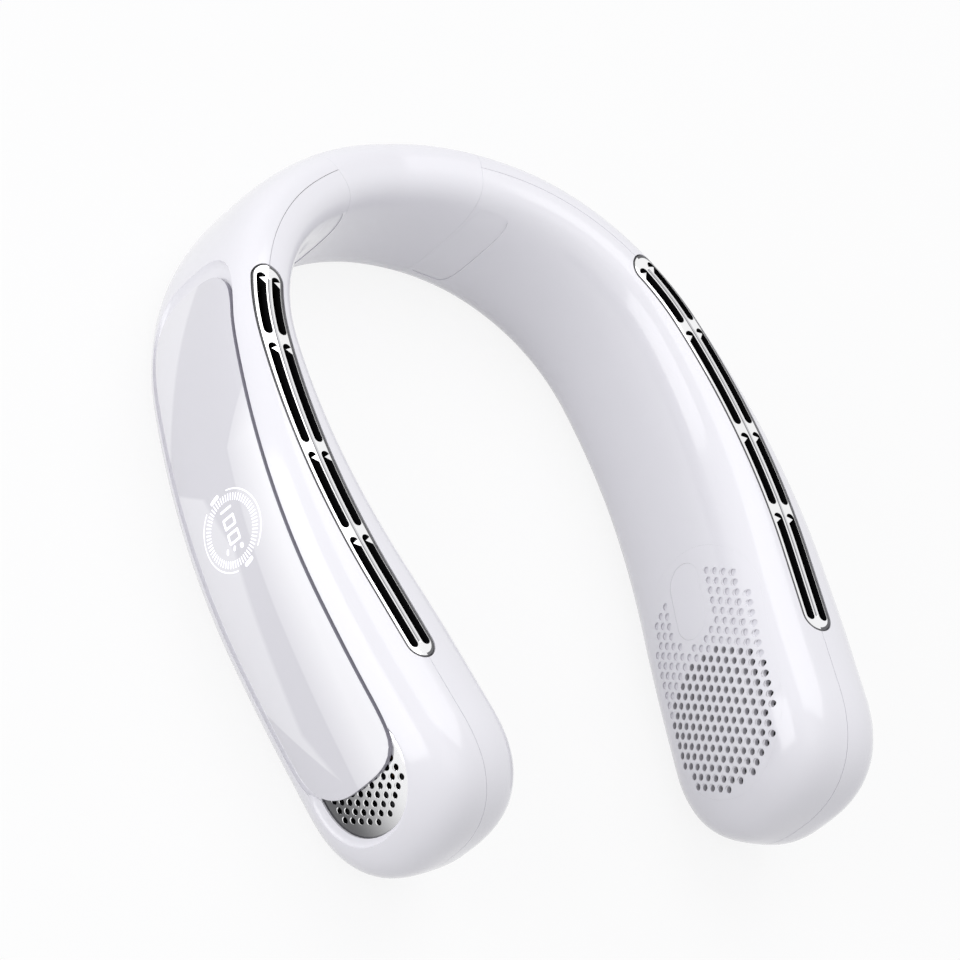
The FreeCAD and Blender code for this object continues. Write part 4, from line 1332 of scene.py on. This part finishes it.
@dataclass
class IntakePanel:
    """Perforated panel on an arm's inner side, with through holes over the fan and dimples elsewhere."""

    run: float = 223.146
    height: float = 31.814
    radius: float = 22.54
    length: float = 31.0
    thickness: float = 1.5
    rim: float = 0.02
    seat_gap: float = 0.01
    seat_depth: float = 6.0
    field_radius: float = 20.6
    field_length: float = 25.2
    field_power: float = 3.0
    pitch: float = 3.2
    rows: int = 20
    hole_radius: float = 1.0
    hole_depth: float = 4.0
    dimple_depth: float = 0.85
    open_radius: float = 19.9
    wall_share: float = 0.4

    def outline(self) -> Outline:
        """The panel's outline on the inner skin, from the fan's axis back along the arm."""
        return Outline.band(Side.INNER, self.run - self.length, self.run, self.height, self.radius, round_steps=16)

    def seat_tool(self) -> Piece:
        """The shape that cuts the panel's opening through the inner shell."""
        return well("panel_seat_tool", self.outline(), self.seat_gap, self.seat_depth)

    def _spots(self, keep_clear: Callable[[float, float], bool]) -> tuple[np.ndarray, np.ndarray]:
        """Works out the holes' places.

        Args:
            keep_clear: Tells whether a place ahead of the axis and above it must stay whole.

        Returns:
            Flat places of the through holes and of the dimples.
        """
        def within(ahead: float, up: float, limit: float) -> bool:
            """Whether a place lies in a rounded square of a half width."""
            return abs(ahead / limit) ** self.field_power + abs(up / limit) ** self.field_power < 1.0

        def wanted(ahead: float, up: float) -> bool:
            """Whether a place lies in the field and clear of what must stay whole."""
            beyond = max(0.0, ahead, -self.field_length - ahead)
            return within(beyond, up, self.field_radius - self.hole_radius) and not keep_clear(ahead, up)
        holes, dimples = [], []
        for ahead, up in lattice(self.pitch, self.rows, wanted):
            kind = holes if within(ahead, up, self.open_radius) else dimples
            kind.append((self.run + ahead, self.height + up))
        return np.array(holes), np.array(dimples)

    def build(self, button: "PowerButton") -> None:
        """Builds the panel of each arm, the right one round the button.

        Args:
            button: The button in the right panel.
        """
        for hand in Hand:
            right = hand is Hand.RIGHT
            name = f"{hand.value}_intake_screen"
            panel = shield(name, self.outline(), self.thickness, self.rim, face_steps=9)
            places = self._spots(button.covers if right else lambda ahead, up: False)
            for flat, depth in zip(places, (self.hole_depth, self.dimple_depth)):
                Bench.carve(panel, pins("panel_pins", Side.INNER, self.run, flat, self.hole_radius, depth))
            if right:
                Bench.carve(panel, button.opening_tool())
            else:
                mirrored = Bench.mirrored(panel, "mirrored_screen")
                Bench.scrap(panel)
                panel = mirrored
                panel.name = panel.data.name = name
            Bench.polish(panel)
            # Painted shade: the walls of the holes and dimples take the grey finish.
            Bench.dress(panel, [BODY_GLOSS, SCREEN_WELL_PAINTED_SHADE], Bench.by_share(self.wall_share))
            Bench.settle(panel, f"{hand.value}_arm", "body_gloss", f"{hand.value}_intake_panel")


@dataclass
class PowerButton:
    """Long round push button on the right arm's inner side, placed from the fan's axis."""

    set_back: float = 38.4
    drop: float = 1.3
    half_length: float = 11.9
    half_width: float = 6.1
    gap: float = 0.03
    opening_depth: float = 6.0
    clear: float = 2.4
    thickness: float = 1.4
    rim: float = 0.1
    axis_run: float = 223.146
    axis_height: float = 31.814

    def outline(self) -> Outline:
        """The button's outline on the inner skin."""
        run, straight = self.axis_run - self.set_back, self.half_length - self.half_width
        return Outline.band(Side.INNER, run - straight, run + straight, self.axis_height - self.drop,
                            self.half_width, round_steps=14)

    def covers(self, ahead: float, up: float) -> bool:
        """Whether a hole at a place would touch the button."""
        along, across = ahead + self.set_back, up + self.drop
        beyond = max(0.0, abs(along) - self.half_length + self.half_width)
        return math.hypot(beyond, across) < self.half_width + self.clear

    def opening_tool(self) -> Piece:
        """The shape that cuts the button's opening through the panel."""
        return well("button_opening_tool", self.outline(), self.gap, self.opening_depth)

    def build(self) -> None:
        """Builds the button."""
        button = shield("push_button", self.outline(), self.thickness, self.rim, face_steps=6)
        Bench.polish(button)
        Bench.dress(button, [BUTTON_SATIN])
        Bench.settle(button, "power_button", "button_gloss", "power_button")


@dataclass
class HingeCover:
    """Rounded cover beside the sleeve on an arm's inner side."""

    start: float = 27.9
    length: float = 13.6
    low_share: float = 0.153
    top_share: float = 0.876
    corner: float = 6.0
    corner_power: float = 6.0
    thickness: float = 1.0
    rim: float = 0.05
    gap: float = 0.03
    sink: float = 0.15
    seat_room: float = 0.1

    def outline(self) -> Outline:
        """The cover's outline on the inner skin."""
        return Outline.pill(Side.INNER, self.start + self.corner, self.start + self.length - self.corner,
                            lambda run: FORM.height(run) * self.top_share,
                            lambda run: FORM.height(run) * self.low_share, self.corner, self.corner,
                            powers=(self.corner_power,) * 4, step=0.8, round_steps=18)

    def seat_tool(self) -> Piece:
        """The shape that cuts the cover's seat into the inner shell."""
        return well("hinge_seat_tool", self.outline(), self.gap, self.thickness + self.sink + self.seat_room)

    def build(self) -> None:
        """Builds the cover of each arm."""
        right = shield("right_hinge_plate", self.outline(), self.thickness, self.rim, face_steps=5,
                       sink=self.sink)
        Bench.pair(right, [BODY_GLOSS], "body_gloss", "hinge_cover")


@dataclass
class ArmHousing:
    """Outer and inner shell of each arm, which meet in a fine line along the top and round the end."""

    start: float = 27.05
    edge: float = 0.04
    edge_turns: Pair = (90.0, 45.0)
    parting: float = 1.3
    parting_gap: float = 0.07
    wall: float = 2.5
    rear_wall: float = 3.0
    step: float = 2.5
    cap_steps: int = 22
    tip_gap: float = 1e-4
    space_runs: Pair = (15.0, 8.0)
    space_reach: float = 42.0
    space_heights: Pair = (-8.0, 78.0)
    socket_run: float = 131.0
    socket_length: float = 8.9
    socket_width: float = 3.3
    socket_gap: float = 0.1
    socket_heights: Pair = (-3.0, 9.0)

    def _body(self, name: str, inset: float, start: float) -> Piece:
        """Sweeps the arm's section along the plan line.

        Args:
            name: Name of the shape.
            inset: Distance inside the skin.
            start: Run of the first section.

        Returns:
            The closed shape.
        """
        ring = section_ring()
        cap = FORM.line_run - FORM.cap_length
        runs = list(np.arange(start + self.edge, cap, self.step))
        reach = FORM.cap_length - self.tip_gap - inset
        runs += [cap + reach * math.sin(turn) for turn in np.linspace(0.0, math.pi / 2.0, self.cap_steps)]
        rings = [rounded_end(start, self.edge, turn, ring, inset) for turn in self.edge_turns]
        rings += [FORM.section(run, ring, inset) for run in runs]
        tip = np.tile(rings[-1].mean(axis=0), (len(ring), 1))
        return Bench.loft(name, rings[:-1] + [tip] if inset == 0.0 else rings + [tip])

    def _half_space(self, name: str, sign: float) -> Piece:
        """The shape that holds one side of the parting line.

        Args:
            name: Name of the shape.
            sign: 1 for the outer side, -1 for the inner side.

        Returns:
            The closed shape.
        """
        runs = np.arange(self.space_runs[0], FORM.line_run + self.space_runs[1], self.step)
        near = self.parting + sign * self.parting_gap
        flat = np.concatenate([np.stack([runs, np.full_like(runs, near)], axis=-1),
                               np.stack([runs, np.full_like(runs, sign * self.space_reach)], axis=-1)[::-1]])
        return Bench.loft(name, [FORM.point(flat[:, 0], flat[:, 1], height) for height in self.space_heights])

    def _socket_tool(self) -> Piece:
        """The shape that cuts the charging socket's opening under the right arm."""
        half = self.socket_width / 2.0 + self.socket_gap
        outline = Outline.band(Side.TOP, self.socket_run - self.socket_length / 2.0 + half,
                               self.socket_run + self.socket_length / 2.0 - half, self.parting, half, step=1.0)
        low, high = self.socket_heights
        return Bench.loft("socket_tool", [FORM.point(flat[:, 0], flat[:, 1], height) for flat, height in (
            (outline.middle, low), (outline.rim, low), (outline.rim, high), (outline.middle, high))])

    def build(self, cover: SideCover, grille: IntakeGrille, strip: VentStrip, panel: IntakePanel,
              hinge: HingeCover) -> None:
        """Builds the two shells of each arm, with the openings that their trims sit in.

        Args:
            cover: Cover on the outer side.
            grille: Sheet under the cover's front end.
            strip: Strip in the top edge.
            panel: Panel on the inner side.
            hinge: Cover beside the sleeve.
        """
        outer = self._body("right_outer_housing", 0.0, self.start)
        Bench.carve(outer, self._body("hollow", self.wall, self.start + self.rear_wall))
        Bench.carve(outer, strip.seat_tool())
        inner = Bench.copy(outer, "right_inner_housing")
        Bench.carve(outer, self._half_space("outer_side", 1.0), Cut.WITHIN)
        Bench.carve(inner, self._half_space("inner_side", -1.0), Cut.WITHIN)
        Bench.carve(outer, cover.recess_tool())
        Bench.carve(outer, grille.bore_tool())
        Bench.carve(inner, panel.seat_tool())
        Bench.carve(inner, hinge.seat_tool())
        twins = [Bench.mirrored(outer, "left_outer_housing"), Bench.mirrored(inner, "left_inner_housing")]
        socket = self._socket_tool()
        Bench.carve(outer, socket, keep=True)
        Bench.carve(inner, socket)
        for shell in (outer, inner, *twins):
            hand, half = shell.name.split("_")[:2]
            Bench.polish(shell)
            Bench.dress(shell, [BODY_GLOSS])
            Bench.settle(shell, f"{hand}_arm", "body_gloss", f"{hand}_{half}_shell")


@dataclass
class DialMarks:
    """Lit readout on the left cover: digits, a ring of ticks, two arcs and two bars.

    Angles are degrees from the front, turning upwards. Places are ahead of the dial's centre and above it.
    """

    run: float = 150.1
    height: float = 27.6
    stretch: Pair = (0.94, 1.12)
    radius: float = 11.1
    root: float = 0.05
    lift: float = 0.04
    end_steps: int = 7
    tick_count: int = 60
    tick_span: Pair = (8.2, 9.9)
    tick_width: float = 0.38
    arcs: tuple[Pair, ...] = ((40.0, 168.0), (218.0, 348.0))
    arc_width: float = 0.36
    arc_step: float = 5.0
    bars: Pair = (13.0, 194.0)
    bar_reach: float = 6.5
    bar_inset: float = 0.1
    bar_width: float = 1.2
    digits: tuple[tuple[float, str], ...] = ((-7.4, "bc"), (-2.4, "abcdef"), (2.0, "abcdef"))
    digit_height: float = 4.6
    digit_width: float = 3.3
    digit_rise: float = 0.3
    digit_gap: float = 0.25
    stroke: float = 0.72
    dots: tuple[tuple[Pair, Pair, float], ...] = (
        ((5.4, 2.0), (5.6, 2.0), 1.4), ((4.6, -0.6), (5.2, -1.0), 0.8), ((4.2, -3.4), (5.0, -3.8), 0.8))
    parts: list[Piece] = field(default_factory=list)

    def _stroke(self, path: np.ndarray, width: float) -> None:
        """Lays a round-ended stroke onto the cover.

        Args:
            path: Places along the stroke.
            width: Width of the stroke.
        """
        run = np.diff(path, axis=0)
        run /= np.linalg.norm(run, axis=1)[:, None]
        along = np.concatenate([run[:1], run[1:] + run[:-1], run[-1:]])
        along /= np.linalg.norm(along, axis=1)[:, None]
        square = np.stack([-along[:, 1], along[:, 0]], axis=-1)
        turn = np.linspace(0.0, math.pi, self.end_steps)[1:-1, None]
        half = width / 2.0
        start = path[0] + half * (np.cos(turn) * -square[0] - np.sin(turn) * along[0])
        end = path[-1] + half * (np.cos(turn) * square[-1] + np.sin(turn) * along[-1])
        rim = np.concatenate([path + half * square, end, (path - half * square)[::-1], start])
        ends = [np.tile(path[at], (len(turn), 1)) for at in (-1, 0)]
        middle = np.concatenate([path, ends[0], path[::-1], ends[1]])
        centre = np.array([self.run, self.height])
        rings = [FORM.skin(Side.OUTER, centre + flat * self.stretch, depth) for flat, depth in
                 ((middle, self.root), (rim, self.root), (rim, -self.lift), (middle, -self.lift))]
        self.parts.append(Bench.loft(f"mark_{len(self.parts)}", rings))

    def _arc(self, radius: float, start: float, end: float, width: float) -> None:
        """An arc about the dial's centre, between two angles."""
        turn = np.radians(np.linspace(start, end, max(3, int(abs(end - start) / self.arc_step))))
        self._stroke(radius * np.stack([np.cos(turn), np.sin(turn)], axis=-1), width)

    def _digit(self, ahead: float, segments: str) -> None:
        """A seven-segment digit.

        Args:
            ahead: Place of its middle along the reading direction.
            segments: Letters of the lit segments, a to f round the digit from its top.
        """
        wide, high = ((size - self.stroke) / 2.0 for size in (self.digit_width, self.digit_height))
        gap = self.digit_gap
        lines = {"a": ((-wide, high), (wide, high)), "b": ((wide, high), (wide, gap)),
                 "c": ((wide, -gap), (wide, -high)), "d": ((wide, -high), (-wide, -high)),
                 "e": ((-wide, -high), (-wide, -gap)), "f": ((-wide, gap), (-wide, high))}
        for letter in segments:
            self._stroke(np.array(lines[letter]) + (ahead, self.digit_rise), self.stroke)

    def build(self) -> None:
        """Builds the marks and lays them on the left cover."""
        for tick in range(self.tick_count):
            turn = 2.0 * math.pi * (tick + 0.5) / self.tick_count
            self._stroke(np.outer(self.tick_span, (math.cos(turn), math.sin(turn))), self.tick_width)
        for start, end in self.arcs:
            self._arc(self.radius, start, end, self.arc_width)
        for turn in self.bars:
            self._arc(self.radius - self.bar_inset, turn - self.bar_reach, turn + self.bar_reach, self.bar_width)
        for ahead, segments in self.digits:
            self._digit(ahead, segments)
        for start, end, width in self.dots:
            self._stroke(np.array([start, end]), width)
        right = Bench.join(self.parts, "mark_pattern")
        marks = Bench.mirrored(right, "dial_marks")
        Bench.scrap(right)
        Bench.dress(marks, [LIT_MARK])
        Bench.settle(marks, "left_arm", "light_guide")


@dataclass
class InnerWorks:
    """Motor, cells, boards and hinge inside the housing, kept as they come from the frame."""

    finishes: tuple[tuple[str, Finish], ...] = (
        ("hinge_link", SATIN_STEEL), ("hinge_pins", SATIN_STEEL), ("hinge_leaf", SATIN_STEEL),
        ("arm_screws", SATIN_STEEL), ("motor_shaft", SATIN_STEEL), ("motor_bearings", SATIN_STEEL),
        ("motor_stator", COPPER_WINDING), ("rotor_magnet", FERRITE), ("battery_cradle", BLACK_PLASTIC),
        ("battery", CELL_WRAP), ("board", SOLDER_MASK), ("charge_socket", SATIN_STEEL),
        ("display_guide", LIT_MARK), ("impeller", FAN_PLASTIC), ("fan_scroll", FAN_PLASTIC),
        ("motor_bracket", FAN_PLASTIC), ("vent_duct", SLOT_PAINTED_SHADE), ("button_switch", BLACK_PLASTIC),
        ("intake_grille", GRILLE_CHROME_PAINTED_REFLECTION), ("vent_strip", TRIM_CHROME), ("side_cover", COVER_PAINTED_SHEEN),
        ("neck_sleeve", SLEEVE_SILICONE), ("power_button", BUTTON_SATIN))

    def dress(self) -> None:
        """Gives every CAD node a finish, by the first name in the list that its own name holds."""
        for name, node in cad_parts.items():
            finish = next((finish for part, finish in self.finishes if part in name), BODY_GLOSS)
            Bench.dress(node, [finish])


@dataclass
class Studio:
    """White floor, soft lamps and the camera."""

    eye: Triple = (-1.63232, -0.7929, 1.63082)
    right: Triple = (0.7383, -0.3425, 0.581)
    down: Triple = (-0.035, -0.8798, -0.4741)
    ahead: Triple = (0.6736, 0.3297, -0.6615)
    focal_share: float = 8682.0 / 960.0
    sensor: float = 36.0
    clip_end: float = 20.0
    ambient: float = 0.6
    ambient_tint: Triple = (0.985, 0.985, 1.0)
    floor_size: float = 8.0
    floor_tones: tuple[Triple, Triple] = ((0.60, 0.60, 0.61), (0.62, 0.62, 0.63))
    floor_grain: float = 40.0
    floor_white: float = 1.08
    floor_share: float = 0.8
    aim: Triple = (0.0, 0.0, 0.03)
    lamps: tuple[tuple[str, Triple, float, float], ...] = (
        ("top_panel", (0.3, 0.65, 1.4), 1.2, 7.2),
        ("side_panel", (-1.1, 0.2, 0.4), 0.9, 5.4),
        ("front_panel", (-0.3, -0.5, 1.6), 0.9, 0.6))

    def build(self) -> None:
        """Sets the floor, the world, the lamps and the camera."""
        bpy.context.scene.view_settings.view_transform = "Standard"
        self._floor()
        self._world()
        for lamp in self.lamps:
            self._lamp(*lamp)
        self._camera()

    def _floor(self) -> None:
        """Lays the floor, white to the camera with a faint shadow."""
        Bench.clear()
        bpy.ops.mesh.primitive_plane_add(size=self.floor_size)
        floor = bpy.context.object
        floor.name = "studio_floor"
        material = bpy.data.materials.new("studio_floor")
        material.use_nodes = True
        tree = material.node_tree
        tree.nodes.clear()
        place = tree.nodes.new("ShaderNodeTexCoord").outputs["Object"]
        grain = add_node(tree, "TexNoise", {"Vector": place, "Scale": self.floor_grain})
        shade = add_node(tree, "Mix", {"Factor": grain.outputs["Fac"], "A": (*self.floor_tones[0], 1.0),
                                       "B": (*self.floor_tones[1], 1.0)}, data_type="RGBA")
        paper = add_node(tree, "BsdfDiffuse", {"Color": shade.outputs["Result"]})
        white = add_node(tree, "Emission", {"Strength": self.floor_white})
        share = add_node(tree, "Math", {0: self._seen(tree), 1: self.floor_share}, operation="MULTIPLY")
        self._show(tree, "Material", share.outputs["Value"], paper.outputs["BSDF"], white.outputs["Emission"])
        floor.data.materials.append(material)

    @staticmethod
    def _seen(tree: Tree) -> Socket:
        """Adds the light path's camera, glossy and transmission rays together.

        Args:
            tree: Node tree of a material or the world.

        Returns:
            A socket that is 1 for those rays and 0 for others.
        """
        path = tree.nodes.new("ShaderNodeLightPath")
        total = path.outputs["Is Camera Ray"]
        for name in ("Is Glossy Ray", "Is Transmission Ray"):
            total = add_node(tree, "Math", {0: total, 1: path.outputs[name]}, use_clamp=True).outputs["Value"]
        return total

    @staticmethod
    def _show(tree: Tree, kind: str, share: Socket, first: Socket, second: Socket) -> None:
        """Mixes two shaders into a tree's output, which is of a kind."""
        mix = add_node(tree, "MixShader", {"Fac": share, 1: first, 2: second})
        add_node(tree, f"Output{kind}", {"Surface": mix.outputs["Shader"]})

    def _world(self) -> None:
        """Sets an even soft light, with white behind the object."""
        world = bpy.data.worlds.new("studio")
        bpy.context.scene.world = world
        world.use_nodes = True
        tree = world.node_tree
        tree.nodes.clear()
        soft = add_node(tree, "Background", {"Color": (*self.ambient_tint, 1.0), "Strength": self.ambient})
        white = add_node(tree, "Background", {"Color": (1.0, 1.0, 1.0, 1.0)})
        self._show(tree, "World", self._seen(tree), soft.outputs["Background"], white.outputs["Background"])

    def _lamp(self, name: str, place: Triple, size: float, power: float) -> None:
        """Hangs a square soft lamp that faces the object.

        Args:
            name: Name of the lamp.
            place: Where it hangs.
            size: Side of the square in metres.
            power: Power in watts.
        """
        light = bpy.data.lights.new(name, "AREA")
        light.size, light.energy = size, power
        lamp = bpy.data.objects.new(name, light)
        bpy.context.scene.collection.objects.link(lamp)
        lamp.location = place
        lamp.rotation_euler = (Vector(self.aim) - Vector(place)).to_track_quat("-Z", "Y").to_euler()

    def _camera(self) -> None:
        """Sets the camera at the photograph's viewing angle."""
        camera = bpy.data.cameras.new("view")
        camera.sensor_fit, camera.sensor_width = "HORIZONTAL", self.sensor
        camera.lens = self.focal_share * self.sensor
        camera.clip_end = self.clip_end
        view = bpy.data.objects.new("view", camera)
        bpy.context.scene.collection.objects.link(view)
        axes = Matrix((self.right, -Vector(self.down), -Vector(self.ahead))).transposed().to_4x4()
        view.matrix_world = Matrix.Translation(self.eye) @ axes
        bpy.context.scene.camera = view


def main() -> None:
    """Builds the fan piece by piece, dresses what the frame keeps, and sets the studio."""
    logging.basicConfig(level=logging.INFO, format="%(name)s: %(message)s")
    bpy.context.scene.cursor.location = (0.0, 0.0, 0.0)
    InnerWorks().dress()
    cover, grille, strip = SideCover(), IntakeGrille(), VentStrip()
    panel, button, hinge = IntakePanel(), PowerButton(), HingeCover()
    NeckSleeve().build()
    ArmHousing().build(cover, grille, strip, panel, hinge)
    cover.build()
    strip.build()
    panel.build(button)
    button.build()
    hinge.build()
    grille.build()
    DialMarks().build()
    Studio().build()


if __name__ == "__main__":
    main()
